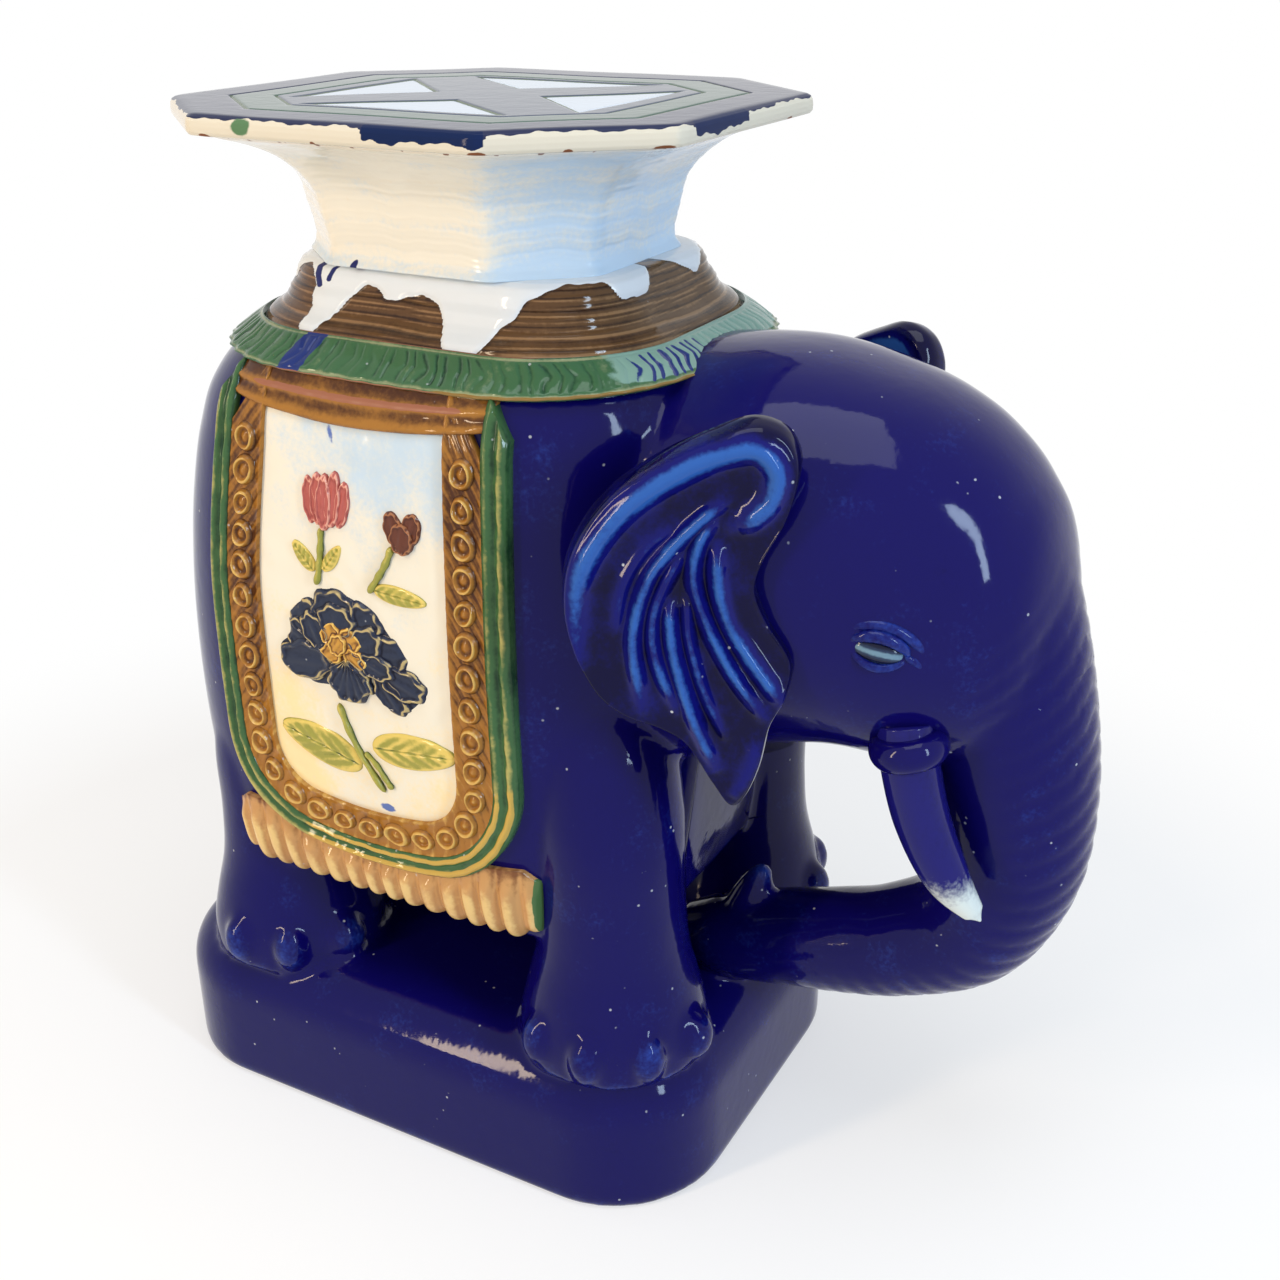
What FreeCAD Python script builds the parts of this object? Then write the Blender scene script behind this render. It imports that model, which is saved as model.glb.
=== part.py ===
import FreeCAD, Part
import math
import os
from FreeCAD import Placement, Rotation, Vector
from Sketcher import Constraint

# Glazed stoneware garden stool in the shape of an elephant, in millimetres.
# The origin is on the floor under the middle of the seat. X points the way the
# elephant looks, Y to its left side and Z up. It is thrown, moulded and carved
# as separate clay pieces that are joined with slip, and no piece moves.

# Driving sizes, each written once
DRIVING_SIZES = {
    "plinth_rear": 190.0,
    "plinth_front": 166.0,
    "plinth_half_width": 131.0,
    "plinth_height": 88.0,
    "plinth_corner": 66.0,
    "plinth_shoulder": 30.0,
    "plinth_wall": 10.0,
    "plinth_vent": 14.0,
    "leg_gap": 64.0,
    "leg_front_reach": 108.0,
    "leg_rear_reach": 109.0,
    "leg_spread": 79.0,
    "leg_radius": 39.0,
    "foot_radius": 51.0,
    "foot_sink": 7.0,
    "leg_bore": 24.0,
    "leg_root": 140.0,
    "toenail_radius": 10.0,
    "toenail_height": 15.0,
    "toenail_lift": 15.0,
    "body_rear": 174.0,
    "body_front": 140.0,
    "body_half_width": 122.0,
    "body_corner": 88.0,
    "body_wall": 9.0,
    "body_vent": 40.0,
    "head_length": 214.0,
    "head_overlap": 40.0,
    "head_half_width": 97.0,
    "head_half_height": 117.0,
    "head_centre_rise": 187.0,
    "head_wall": 9.0,
    "trunk_setback": 20.0,
    "trunk_radius": 47.0,
    "trunk_wall": 10.0,
    "trunk_sink": 5.0,
    "trunk_tip_height": 54.0,
    "trunk_tip_radius": 15.0,
    "tusk_length": 96.0,
    "tusk_forward": 158.0,
    "tusk_drop": 47.0,
    "tusk_radius": 14.0,
    "tusk_socket_radius": 19.0,
    "tusk_socket_height": 16.0,
    "ear_height": 182.0,
    "ear_width": 108.0,
    "ear_thickness": 15.0,
    "ear_forward": 112.0,
    "ear_sink": 8.0,
    "ear_drop": 82.0,
    "eye_radius": 9.0,
    "eye_lift": 4.0,
    "eye_sink": 5.0,
    "eyelid_radius": 10.5,
    "eyelid_thickness": 3.2,
    "tail_length": 150.0,
    "tail_tuft_radius": 11.0,
    "tail_root_rise": 226.0,
    "collar_inner_length": 114.0,
    "collar_inner_width": 97.0,
    "collar_inner_corner": 66.0,
    "collar_spread": 19.0,
    "collar_height": 12.0,
    "collar_edge": 3.0,
    "saddle_shift": 5.0,
    "platform_height": 40.0,
    "platform_step": 20.0,
    "platform_step_inset": 10.0,
    "platform_top_inset": 25.0,
    "platform_bore": 46.0,
    "seat_half_length": 144.0,
    "seat_half_width": 130.0,
    "seat_cut_length": 66.0,
    "seat_cut_width": 59.0,
    "seat_thickness": 10.0,
    "seat_bevel": 2.0,
    "seat_incision": 1.0,
    "seat_line_width": 2.0,
    "seat_band_inset": 28.0,
    "seat_band_width": 19.0,
    "pedestal_height": 64.0,
    "pedestal_wall": 10.0,
    "register_height": 8.0,
    "register_wall": 6.0,
    "register_clearance": 0.5,
    "cloth_rear_shift": 11.5,
    "cloth_top_drop": 18.0,
    "panel_half_width": 58.5,
    "panel_height": 215.0,
    "panel_corner": 30.0,
    "panel_sweep": 200.0,
    "panel_thickness": 2.5,
    "border_width": 21.0,
    "border_thickness": 4.0,
    "bead_radius": 7.0,
    "bead_pitch": 17.0,
    "bead_rise": 2.0,
    "rim_width": 11.0,
    "rim_thickness": 6.5,
    "fringe_height": 28.0,
    "fringe_thickness": 9.0,
    "fringe_side": 12.0,
    "fringe_rise": 62.0,
    "belly_clearance": 1.0,
    "relief_thickness": 5.5,
    "side_reach": 220.0,
    "cut_overrun": 5.0,
}

# Body outline from the belly up, as shares of the body's height, of its reach
# to the rear and to the front, of its half width and of its corner radius
BODY_LEVEL_SHARES = (
    (0.000, 0.945, 0.915, 0.930, 0.900),
    (0.160, 0.985, 0.955, 0.990, 0.980),
    (0.360, 0.985, 0.985, 1.005, 1.000),
    (0.570, 0.960, 1.000, 1.005, 0.990),
    (0.730, 0.920, 1.000, 0.990, 0.970),
    (0.840, 0.865, 0.990, 0.975, 0.945),
    (0.930, 0.795, 0.975, 0.955, 0.905),
    (1.000, 0.725, 0.955, 0.940, 0.860),
)

# Leg outline from the plinth up, as shares of the leg's height, then shares
# of how far the radius has gone from the leg's own to the foot's
LEG_LEVEL_SHARES = (
    (0.08, 1.00),
    (0.16, 0.70),
    (0.28, 0.20),
    (0.42, 0.00),
    (0.70, 0.05),
    (0.88, 0.00),
    (1.00, -1.20),
)

# Head outline from the neck to the brow: shares of the head's length, of its
# half width, of its half height, and its centre's rise in half heights. The
# corners of each level are rounded by a share of its half width
HEAD_LEVEL_SHARES = (
    (0.000, 0.950, 0.944, -0.030),
    (0.190, 1.000, 0.927, 0.055),
    (0.370, 1.000, 0.860, 0.140),
    (0.540, 0.940, 0.800, 0.145),
    (0.680, 0.845, 0.765, 0.100),
    (0.790, 0.725, 0.700, 0.055),
    (0.885, 0.580, 0.590, 0.000),
    (0.955, 0.400, 0.410, -0.035),
    (1.000, 0.200, 0.200, -0.065),
)
HEAD_CORNER_SHARE = 0.80
EYE_LEVEL = 4
EAR_LEVEL = 3

# Trunk centre line from the brow to the bend: shares of its reach, of the
# height between the plinth and the head's centre, and of its radius
TRUNK_UPPER_SHARES = (
    (0.890, 1.000, 1.120),
    (0.962, 0.800, 1.000),
    (1.000, 0.610, 0.870),
    (1.002, 0.430, 0.750),
    (0.930, 0.285, 0.690),
)

# The rest of the trunk, which comes back over the plinth and lies on it:
# shares of its reach, of the height that is left at the bend, and of its radius
TRUNK_LOWER_SHARES = (
    (0.930, 1.000, 0.690),
    (0.800, 0.560, 0.620),
    (0.710, 0.400, 0.590),
    (0.620, 0.270, 0.570),
    (0.545, 0.150, 0.545),
    (0.460, 0.040, 0.480),
    (0.390, 0.000, 0.340),
)

# Where the trunk's finger stands: shares of the trunk's reach, of the finger's
# height and of its radius. It starts from this level of the lower trunk
TRUNK_TIP_LEVEL = 4
TRUNK_TIP_SHARES = (
    (0.520, 0.000, 1.300),
    (0.520, 0.400, 1.000),
    (0.535, 0.800, 0.700),
    (0.550, 1.000, 0.350),
)

# Tusk centre line: shares of its length along the head and down, and of its radius
TUSK_SHARES = (
    (-0.060, 0.120, 1.000),
    (0.000, 0.000, 1.000),
    (0.080, -0.420, 0.950),
    (0.240, -0.760, 0.800),
    (0.440, -1.000, 0.350),
)

# Ear outline, as shares of its width back from the root and of its height
EAR_OUTLINE_SHARES = (
    (0.06, 0.88),
    (0.22, 1.00),
    (0.52, 0.94),
    (0.82, 0.79),
    (1.00, 0.59),
    (0.96, 0.35),
    (0.70, 0.17),
    (0.43, 0.08),
    (0.29, 0.00),
    (0.18, 0.09),
    (0.10, 0.27),
    (0.00, 0.36),
    (0.14, 0.55),
    (0.18, 0.73),
)

# The ear's turn out from the head, and how far its two faces are drawn in
EAR_TURN_DEGREES = 25.0
EAR_FACE_SHARE = 0.93

# Pedestal outline from its foot up, as shares of its height and of the seat's plan
PEDESTAL_LEVEL_SHARES = (
    (0.00, 0.590),
    (0.12, 0.578),
    (0.34, 0.598),
    (0.58, 0.625),
    (0.76, 0.700),
    (0.90, 0.815),
    (1.00, 0.945),
)

# Tail outline down from its root: shares of its length and of the tuft's radius
TAIL_SHARES = (
    (0.00, 0.80),
    (0.30, 0.62),
    (0.66, 0.55),
    (0.80, 1.00),
    (0.94, 0.70),
    (1.00, 0.20),
)

# Toenail places round a foot, in degrees out from the way the elephant looks
FRONT_TOENAIL_ANGLES = (0.0, 40.0, 80.0, 120.0)
REAR_TOENAIL_ANGLES = (15.0, 55.0, 95.0)
TOENAIL_REACH_SHARE = 0.96

# Petals of the open flower, and leaves as shares of the panel's half width and
# height from its lower edge, then length and width shares of the panel's half
# width, and the turn of each in degrees
PETAL_COUNT = 8
PEONY_PLACE_SHARES = (-0.04, 0.435)
PEONY_RADIUS_SHARE = 0.36
PETAL_RADIUS_SHARE = 0.22
PEONY_HEART_SHARE = 0.21
LEAF_SHARES = (
    (-0.48, 0.165, 0.40, 0.18, 165.0),
    (0.53, 0.205, 0.42, 0.16, 3.0),
    (0.52, 0.615, 0.26, 0.085, -8.0),
    (-0.52, 0.668, 0.14, 0.075, 140.0),
    (-0.165, 0.655, 0.12, 0.065, 50.0),
)
TULIP_SHARES = (
    (-0.27, 0.790, 0.30, 0.125, 88.0),
    (-0.41, 0.788, 0.25, 0.095, 108.0),
    (-0.12, 0.788, 0.25, 0.095, 70.0),
)
BUD_SHARES = (
    (0.57, 0.744, 0.20, 0.16, 80.0),
)
STEM_SHARES = (
    (-0.04, 0.165, 0.42, 0.037, 119.0),
    (-0.31, 0.650, 0.25, 0.037, 83.0),
    (0.36, 0.640, 0.28, 0.037, 58.0),
)

# How much a corner cut of the seat's plan shortens as the plan is drawn in
INSET_CUT_SHARE = 0.585

# The pedestal's narrowest share of the seat's plan, and how much of the
# collar's spread is left at its top
PEDESTAL_WAIST_SHARE = 0.578
COLLAR_TOP_SHARE = 0.12

# How far the tail's line is sunk in the rump, in its own radii
TAIL_SINK_SHARE = 0.3

# How near an edge is to a level to count as on it, and how little of the solid
# block a hollow piece may keep
TOUCH_SHARE = 0.001
HOLLOW_SHARE = 0.70

# White wedge in the seat top: where its point and its base lie between the
# middle and the edge, and its half base as a share of the other half size
WEDGE_POINT_SHARE = 0.22
WEDGE_BASE_SHARE = 0.56
WEDGE_SPREAD_SHARE = 0.38

document = FreeCAD.newDocument("elephant_stool")
sheet = document.addObject("Spreadsheet::Sheet", "sizes")
for row, (alias, value) in enumerate(DRIVING_SIZES.items(), start=1):
    sheet.set("A%d" % row, alias)
    sheet.set("B%d" % row, "%.6f" % value)
    sheet.setAlias("B%d" % row, alias)
document.recompute()

pieces = []


def size(alias):
    """The value of a driving cell."""
    return float(sheet.get(alias))


def total(*terms):
    """A sum of (alias, share) terms, as an expression and as a number."""
    parts = []
    number = 0.0
    for alias, share in terms:
        parts.append("sizes.%s * %.6f" % (alias, share))
        number += size(alias) * share
    return " + ".join(parts), number


def keep(label, item):
    """Name a finished piece and list it for export."""
    item.Label = label
    pieces.append(item)
    return item


def origin_plane(body, role):
    """One of a body's own origin planes."""
    for feature in body.Origin.OriginFeatures:
        if feature.Role == role:
            return feature
    raise RuntimeError("no plane " + role)


def new_sketch(body, name, role, offset, lift=None):
    """A sketch on an origin plane of its body, moved off it and up by bound lengths."""
    sketch = body.newObject("Sketcher::SketchObject", name)
    sketch.AttachmentSupport = [(origin_plane(body, role), "")]
    sketch.MapMode = "FlatFace"
    if offset:
        sketch.setExpression("AttachmentOffset.Base.z", offset[0])
    if lift:
        sketch.setExpression("AttachmentOffset.Base.y", lift[0])
    return sketch


def bound(sketch, kind, *arguments):
    """Add a measured constraint and tie it to its expression."""
    places = arguments[:-1]
    expression, number = arguments[-1]
    index = sketch.addConstraint(Constraint(kind, *places, number))
    sketch.setExpression("Constraints[%d]" % index, expression)


def rounded_sketch(body, name, rear, front, half_width, corner, offset,
                   role="XY_Plane", lift=None):
    """A rectangle with round corners, lying across the origin of its plane."""
    sketch = new_sketch(body, name, role, offset, lift)
    xs = (-rear[1], front[1])
    ys = (-half_width[1], half_width[1])
    r = corner[1]
    up = Vector(0, 0, 1)
    quarter = math.pi / 2
    lines = (
        ((xs[0] + r, ys[0]), (xs[1] - r, ys[0])),
        ((xs[1], ys[0] + r), (xs[1], ys[1] - r)),
        ((xs[1] - r, ys[1]), (xs[0] + r, ys[1])),
        ((xs[0], ys[1] - r), (xs[0], ys[0] + r)),
    )
    centres = (
        (xs[1] - r, ys[0] + r, 3),
        (xs[1] - r, ys[1] - r, 0),
        (xs[0] + r, ys[1] - r, 1),
        (xs[0] + r, ys[0] + r, 2),
    )
    for line, (cx, cy, turn) in zip(lines, centres):
        sketch.addGeometry(Part.LineSegment(Vector(*line[0], 0), Vector(*line[1], 0)))
        circle = Part.Circle(Vector(cx, cy, 0), up, r)
        sketch.addGeometry(Part.ArcOfCircle(circle, turn * quarter, (turn + 1) * quarter))
    for index in range(0, 8, 2):
        following = (index + 2) % 8
        sketch.addConstraint(Constraint("Tangent", index, 2, index + 1, 1))
        sketch.addConstraint(Constraint("Tangent", index + 1, 2, following, 1))
    for index in (0, 4):
        sketch.addConstraint(Constraint("Horizontal", index))
    for index in (2, 6):
        sketch.addConstraint(Constraint("Vertical", index))
    for index in (3, 5, 7):
        sketch.addConstraint(Constraint("Equal", 1, index))
    bound(sketch, "Radius", 1, corner)
    bound(sketch, "DistanceX", -1, 1, 2, 1, front)
    bound(sketch, "DistanceX", 6, 1, -1, 1, rear)
    bound(sketch, "DistanceY", -1, 1, 4, 1, half_width)
    bound(sketch, "DistanceY", 0, 1, -1, 1, half_width)
    return sketch


def bound_place(sketch, index, x, x_side, y, y_side):
    """Tie a circle's centre to bound distances from the origin, on the sides given."""
    if x_side > 0:
        bound(sketch, "DistanceX", -1, 1, index, 3, x)
    else:
        bound(sketch, "DistanceX", index, 3, -1, 1, x)
    if y_side > 0:
        bound(sketch, "DistanceY", -1, 1, index, 3, y)
    else:
        bound(sketch, "DistanceY", index, 3, -1, 1, y)


def add_octagon(sketch, first, share, *grow):
    """Draw the seat's plan at a share of its size, drawn in by the grow terms,
    as the eight lines that follow the sketch's first geometries."""
    cuts = [(alias, step * INSET_CUT_SHARE) for alias, step in grow]
    half_length = total(("seat_half_length", share), *grow)
    half_width = total(("seat_half_width", share), *grow)
    cut_length = total(("seat_cut_length", share), *cuts)
    cut_width = total(("seat_cut_width", share), *cuts)
    a, b = half_length[1], half_width[1]
    c, d = cut_length[1], cut_width[1]
    corners = (
        (-a + c, -b), (a - c, -b), (a, -b + d), (a, b - d),
        (a - c, b), (-a + c, b), (-a, b - d), (-a, -b + d),
    )
    count = len(corners)
    for index in range(count):
        start = Vector(*corners[index], 0)
        end = Vector(*corners[(index + 1) % count], 0)
        sketch.addGeometry(Part.LineSegment(start, end))
    lines = [first + index for index in range(count)]
    for index in range(count):
        following = lines[(index + 1) % count]
        sketch.addConstraint(Constraint("Coincident", lines[index], 2, following, 1))
    for index in (0, 4):
        sketch.addConstraint(Constraint("Horizontal", lines[index]))
    for index in (2, 6):
        sketch.addConstraint(Constraint("Vertical", lines[index]))
    bound(sketch, "DistanceX", -1, 1, lines[2], 1, half_length)
    bound(sketch, "DistanceX", lines[6], 1, -1, 1, half_length)
    bound(sketch, "DistanceY", -1, 1, lines[4], 1, half_width)
    bound(sketch, "DistanceY", lines[0], 1, -1, 1, half_width)
    bound(sketch, "DistanceX", lines[1], 1, lines[1], 2, cut_length)
    bound(sketch, "DistanceX", lines[3], 2, lines[3], 1, cut_length)
    bound(sketch, "DistanceX", lines[5], 2, lines[5], 1, cut_length)
    bound(sketch, "DistanceX", lines[7], 1, lines[7], 2, cut_length)
    bound(sketch, "DistanceY", lines[1], 1, lines[1], 2, cut_width)
    bound(sketch, "DistanceY", lines[3], 1, lines[3], 2, cut_width)
    bound(sketch, "DistanceY", lines[5], 2, lines[5], 1, cut_width)
    bound(sketch, "DistanceY", lines[7], 2, lines[7], 1, cut_width)


def octagon_sketch(body, name, share, offset, *grow):
    """The seat's plan at a share of its size, on its own sketch."""
    sketch = new_sketch(body, name, "XY_Plane", offset)
    add_octagon(sketch, 0, share, *grow)
    return sketch


def add_wedges(sketch):
    """Four triangles that point at the middle of the seat."""
    half = {"x": "seat_half_length", "y": "seat_half_width"}
    first = 0
    for axis, other in (("x", "y"), ("y", "x")):
        for side in (1, -1):
            point = total((half[axis], WEDGE_POINT_SHARE))
            base = total((half[axis], WEDGE_BASE_SHARE))
            spread = total((half[other], WEDGE_SPREAD_SHARE))
            places = (
                (side * point[1], 0.0),
                (side * base[1], -spread[1]),
                (side * base[1], spread[1]),
            )
            if axis == "y":
                places = tuple((across, along) for along, across in places)
            for index in range(3):
                start = Vector(*places[index], 0)
                end = Vector(*places[(index + 1) % 3], 0)
                sketch.addGeometry(Part.LineSegment(start, end))
            for index in range(3):
                following = first + (index + 1) % 3
                sketch.addConstraint(Constraint("Coincident", first + index, 2, following, 1))
            along_kind, across_kind = "DistanceX", "DistanceY"
            if axis == "y":
                along_kind, across_kind = across_kind, along_kind
            sketch.addConstraint(Constraint("PointOnObject", first, 1, -1 if axis == "x" else -2))
            for index, term in ((0, point), (1, base), (2, base)):
                if side > 0:
                    bound(sketch, along_kind, -1, 1, first + index, 1, term)
                else:
                    bound(sketch, along_kind, first + index, 1, -1, 1, term)
            bound(sketch, across_kind, first + 1, 1, -1, 1, spread)
            bound(sketch, across_kind, -1, 1, first + 2, 1, spread)
            first += 3


def circle_sketch(body, name, radius, offset):
    """A circle round the body's own axis."""
    sketch = new_sketch(body, name, "XY_Plane", offset)
    sketch.addGeometry(Part.Circle(Vector(0, 0, 0), Vector(0, 0, 1), radius[1]))
    sketch.addConstraint(Constraint("Coincident", 0, 3, -1, 1))
    bound(sketch, "Radius", 0, radius)
    return sketch


def new_body(name):
    return document.addObject("PartDesign::Body", name)


def loft(body, kind, sketches):
    """An additive or subtractive loft through a body's own sketches."""
    feature = body.newObject("PartDesign::" + kind + "Loft", body.Name + kind)
    feature.Profile = sketches[0]
    feature.Sections = sketches[1:]
    return feature


def pad(body, sketch, length, kind="Pad", reverse=False):
    """A pad or pocket of a bound length."""
    feature = body.newObject("PartDesign::" + kind, sketch.Name + kind)
    feature.Profile = sketch
    feature.Length = length[1]
    feature.setExpression("Length", length[0])
    feature.Reversed = reverse
    return feature


def cut(name, base, *tools):
    """A base with each tool taken off it."""
    result = base
    for number, tool in enumerate(tools, start=1):
        item = document.addObject("Part::Cut", "%s_cut_%d" % (name, number))
        item.Base = result
        item.Tool = tool
        result = item
    return result


def common(name, base, tool):
    item = document.addObject("Part::Common", name + "_common")
    item.Base = base
    item.Tool = tool
    return item


def join(name, items):
    item = document.addObject("Part::MultiFuse", name + "_join")
    item.Shapes = items
    return item


def mirror(name, source):
    """The same piece on the elephant's left side."""
    item = document.addObject("Part::Mirroring", name + "_mirror")
    item.Source = source
    item.Normal = Vector(0, 1, 0)
    item.Base = Vector(0, 0, 0)
    return item


def both_sides(name, item):
    """Keep a piece of the right side and its mirror image."""
    keep(name + "_right", item)
    keep(name + "_left", mirror(name, item))


# The body is as high as the cloth on its side, which ends just above the belly
BODY_HEIGHT = (
    ("belly_clearance", 1.0), ("fringe_height", 1.0), ("rim_width", 1.0), ("border_width", 1.0),
    ("panel_height", 1.0), ("cloth_top_drop", 1.0))

# Heights at which the pieces stand on each other
PLINTH_TOP = (("plinth_height", 1.0),)
BELLY = PLINTH_TOP + (("leg_gap", 1.0),)
BACK = BELLY + BODY_HEIGHT
PEDESTAL_FOOT = BACK + (("platform_height", 1.0),)
SEAT_UNDERSIDE = PEDESTAL_FOOT + (("pedestal_height", 1.0),)
SEAT_TOP = SEAT_UNDERSIDE + (("seat_thickness", 1.0),)
HEAD_CENTRE = BELLY + (("head_centre_rise", 1.0),)

# Where the head starts inside the neck, and how far the trunk's line reaches
HEAD_START = (("body_front", 1.0), ("head_overlap", -1.0))
TRUNK_REACH = HEAD_START + (("head_length", 1.0), ("trunk_setback", -1.0))


def rise(base, *terms):
    """A height above one of the levels, as a number."""
    return total(*base, *terms)[1]


def plinth():
    """A low block with round corners and shoulders, hollow from below, with a
    hole through its roof under each leg that lets the kiln's heat out."""
    body = new_body("plinth_body")
    sides = ("plinth_rear", "plinth_front", "plinth_half_width", "plinth_corner")
    outer = [total((alias, 1.0)) for alias in sides]
    inner = [total((alias, 1.0), ("plinth_wall", -1.0)) for alias in sides]
    outline = rounded_sketch(body, "plinth_outline", *outer, None)
    block = pad(body, outline, total(("plinth_height", 1.0)))
    document.recompute()
    top = size("plinth_height")
    near = top * TOUCH_SHARE
    names = []
    for number, edge in enumerate(block.Shape.Edges, start=1):
        box = edge.BoundBox
        if abs(box.ZMin - top) < near and abs(box.ZMax - top) < near:
            names.append("Edge%d" % number)
    shoulder = body.newObject("PartDesign::Fillet", "plinth_shoulder_round")
    shoulder.Base = (block, names)
    shoulder.setExpression("Radius", "sizes.plinth_shoulder")
    document.recompute()
    solid_volume = shoulder.Shape.Volume
    hollow = rounded_sketch(body, "plinth_hollow", *inner, None)
    depth = total(("plinth_height", 1.0), ("plinth_wall", -1.0))
    pocket = pad(body, hollow, depth, "Pocket", True)
    document.recompute()
    if pocket.Shape.Volume > solid_volume * HOLLOW_SHARE:
        raise RuntimeError("the plinth is not hollow")
    vents = new_sketch(body, "plinth_vents", "XY_Plane", None)
    places = (("leg_front_reach", 1), ("leg_rear_reach", -1))
    index = 0
    for alias, side in places:
        for hand in (1, -1):
            centre = Vector(side * size(alias), hand * size("leg_spread"), 0)
            vents.addGeometry(Part.Circle(centre, Vector(0, 0, 1), size("plinth_vent")))
            bound(vents, "Radius", index, total(("plinth_vent", 1.0)))
            bound_place(vents, index, total((alias, 1.0)), side, total(("leg_spread", 1.0)), hand)
            index += 1
    pad(body, vents, total(("plinth_height", 1.0), ("cut_overrun", 1.0)), "Pocket", True)
    return body


def column(name, alias, side):
    """A round leg from just inside the plinth's roof to its root in the body,
    wider at the foot."""
    body = new_body(name)
    sole = total(*PLINTH_TOP, ("foot_sink", -1.0))
    sketches = [circle_sketch(body, name + "_sole", total(("foot_radius", 1.0)), sole)]
    for number, (height, flare) in enumerate(LEG_LEVEL_SHARES):
        radius = total(("leg_radius", 1.0 - flare), ("foot_radius", flare))
        offset = total(*PLINTH_TOP, ("leg_gap", height), ("leg_root", height))
        sketches.append(circle_sketch(body, "%s_level_%d" % (name, number), radius, offset))
    loft(body, "Additive", sketches)
    body.setExpression("Placement.Base.x", "sizes.%s * %d" % (alias, side))
    body.setExpression("Placement.Base.y", "sizes.leg_spread * -1")
    return body


def leg(name, solid, alias, side, base):
    """The column with its bore, standing on the plinth."""
    bore = document.addObject("Part::Cylinder", name + "_bore")
    bore.setExpression("Radius", "sizes.leg_bore")
    height = total(("foot_sink", 1.0), ("leg_gap", 1.0), ("leg_root", 1.0), ("cut_overrun", 2.0))
    bore.setExpression("Height", height[0])
    bore.setExpression("Placement.Base.x", "sizes.%s * %d" % (alias, side))
    bore.setExpression("Placement.Base.y", "sizes.leg_spread * -1")
    foot = total(*PLINTH_TOP, ("foot_sink", -1.0), ("cut_overrun", -1.0))
    bore.setExpression("Placement.Base.z", foot[0])
    return cut(name, solid, bore, base)


def toenails(name, angles, alias, side, solid, base):
    """Rounded nails pressed on round the front of a foot."""
    nails = []
    reach = size("foot_radius") * TOENAIL_REACH_SHARE
    for number, degrees in enumerate(angles):
        angle = math.radians(degrees)
        x = side * size(alias) + reach * math.cos(angle)
        y = -size("leg_spread") - reach * math.sin(angle)
        centre = Vector(x, y, rise(PLINTH_TOP, ("toenail_lift", 1.0)))
        nail = document.addObject("Part::Ellipsoid", "%s_%d" % (name, number))
        nail.setExpression("Radius1", "sizes.toenail_height")
        nail.setExpression("Radius2", "sizes.toenail_radius")
        nail.setExpression("Radius3", "sizes.toenail_radius")
        nail.Angle1 = -90
        nail.Angle2 = 90
        nail.Placement = Placement(centre, Rotation())
        nails.append(nail)
    return cut(name, join(name, nails), solid, base)


def hull(name, *grow, inset=None):
    """The barrel of the body, grown or shrunk all round, its ends drawn in by an inset."""
    body = new_body(name)
    sketches = []
    for number, (height, rear, front, width, corner) in enumerate(BODY_LEVEL_SHARES):
        level = [(alias, height) for alias, _ in BODY_HEIGHT]
        ends = [(inset, 1.0 - 2.0 * height)] if inset else []
        sketches.append(rounded_sketch(
            body, "%s_level_%d" % (name, number),
            total(("body_rear", rear), *grow),
            total(("body_front", front), *grow),
            total(("body_half_width", width), *grow),
            total(("body_corner", corner), *grow),
            total(*BELLY, *level, *ends)))
    loft(body, "Additive", sketches)
    return body


def head_form(name, levels, *grow):
    """The domed head, from inside the neck to the brow."""
    body = new_body(name)
    sketches = []
    for number, (along, width, height, lift) in enumerate(levels):
        half_width = total(("head_half_width", width), *grow)
        sketches.append(rounded_sketch(
            body, "%s_level_%d" % (name, number),
            half_width,
            half_width,
            total(("head_half_height", height), *grow),
            total(("head_half_width", width * HEAD_CORNER_SHARE), *grow),
            total(*HEAD_START, ("head_length", along)),
            "YZ_Plane",
            total(*BELLY, ("head_centre_rise", 1.0), ("head_half_height", lift))))
    loft(body, "Additive", sketches)
    return body


def path_loft(name, points, radii, straight=False):
    """A round clay coil through points of one upright plane, each ring square to
    the way it runs."""
    rings = []
    count = len(points)
    for number, (point, radius) in enumerate(zip(points, radii)):
        before = points[max(number - 1, 0)]
        after = points[min(number + 1, count - 1)]
        ring = document.addObject("Part::Circle", "%s_ring_%d" % (name, number))
        ring.setExpression("Radius", radius[0])
        run = after - before
        lean = math.degrees(math.atan2(run.x, run.z))
        ring.Placement = Placement(point, Rotation(Vector(0, 1, 0), lean))
        rings.append(ring)
    item = document.addObject("Part::Loft", name + "_loft")
    item.Sections = rings
    item.Solid = True
    item.Ruled = straight
    return item


def trunk_line():
    """Centres and radii of the trunk's two stretches."""
    reach = rise((), *TRUNK_REACH)
    top = rise(PLINTH_TOP)
    height = rise(HEAD_CENTRE) - top
    upper = []
    upper_radii = []
    for along, up, radius in TRUNK_UPPER_SHARES:
        upper.append(Vector(along * reach, 0, top + up * height))
        upper_radii.append(total(("trunk_radius", radius)))
    resting = TRUNK_LOWER_SHARES[-2][2] * size("trunk_radius") + top - size("trunk_sink")
    left = upper[-1].z - resting
    lower = []
    lower_radii = []
    for along, up, radius in TRUNK_LOWER_SHARES:
        lower.append(Vector(along * reach, 0, resting + up * left))
        lower_radii.append(total(("trunk_radius", radius)))
    return upper, upper_radii, lower, lower_radii


def tusk_points():
    """The tusk's line, from inside the cheek down along the trunk."""
    length = size("tusk_length")
    start = rise((), *HEAD_START, ("tusk_forward", 1.0))
    top = rise(HEAD_CENTRE, ("tusk_drop", -1.0))
    side = size("trunk_radius") + size("tusk_radius")
    points = []
    radii = []
    for along, up, radius in TUSK_SHARES:
        points.append(Vector(start + along * length, -side, top + up * length))
        radii.append(total(("tusk_radius", radius)))
    return points, radii


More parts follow.
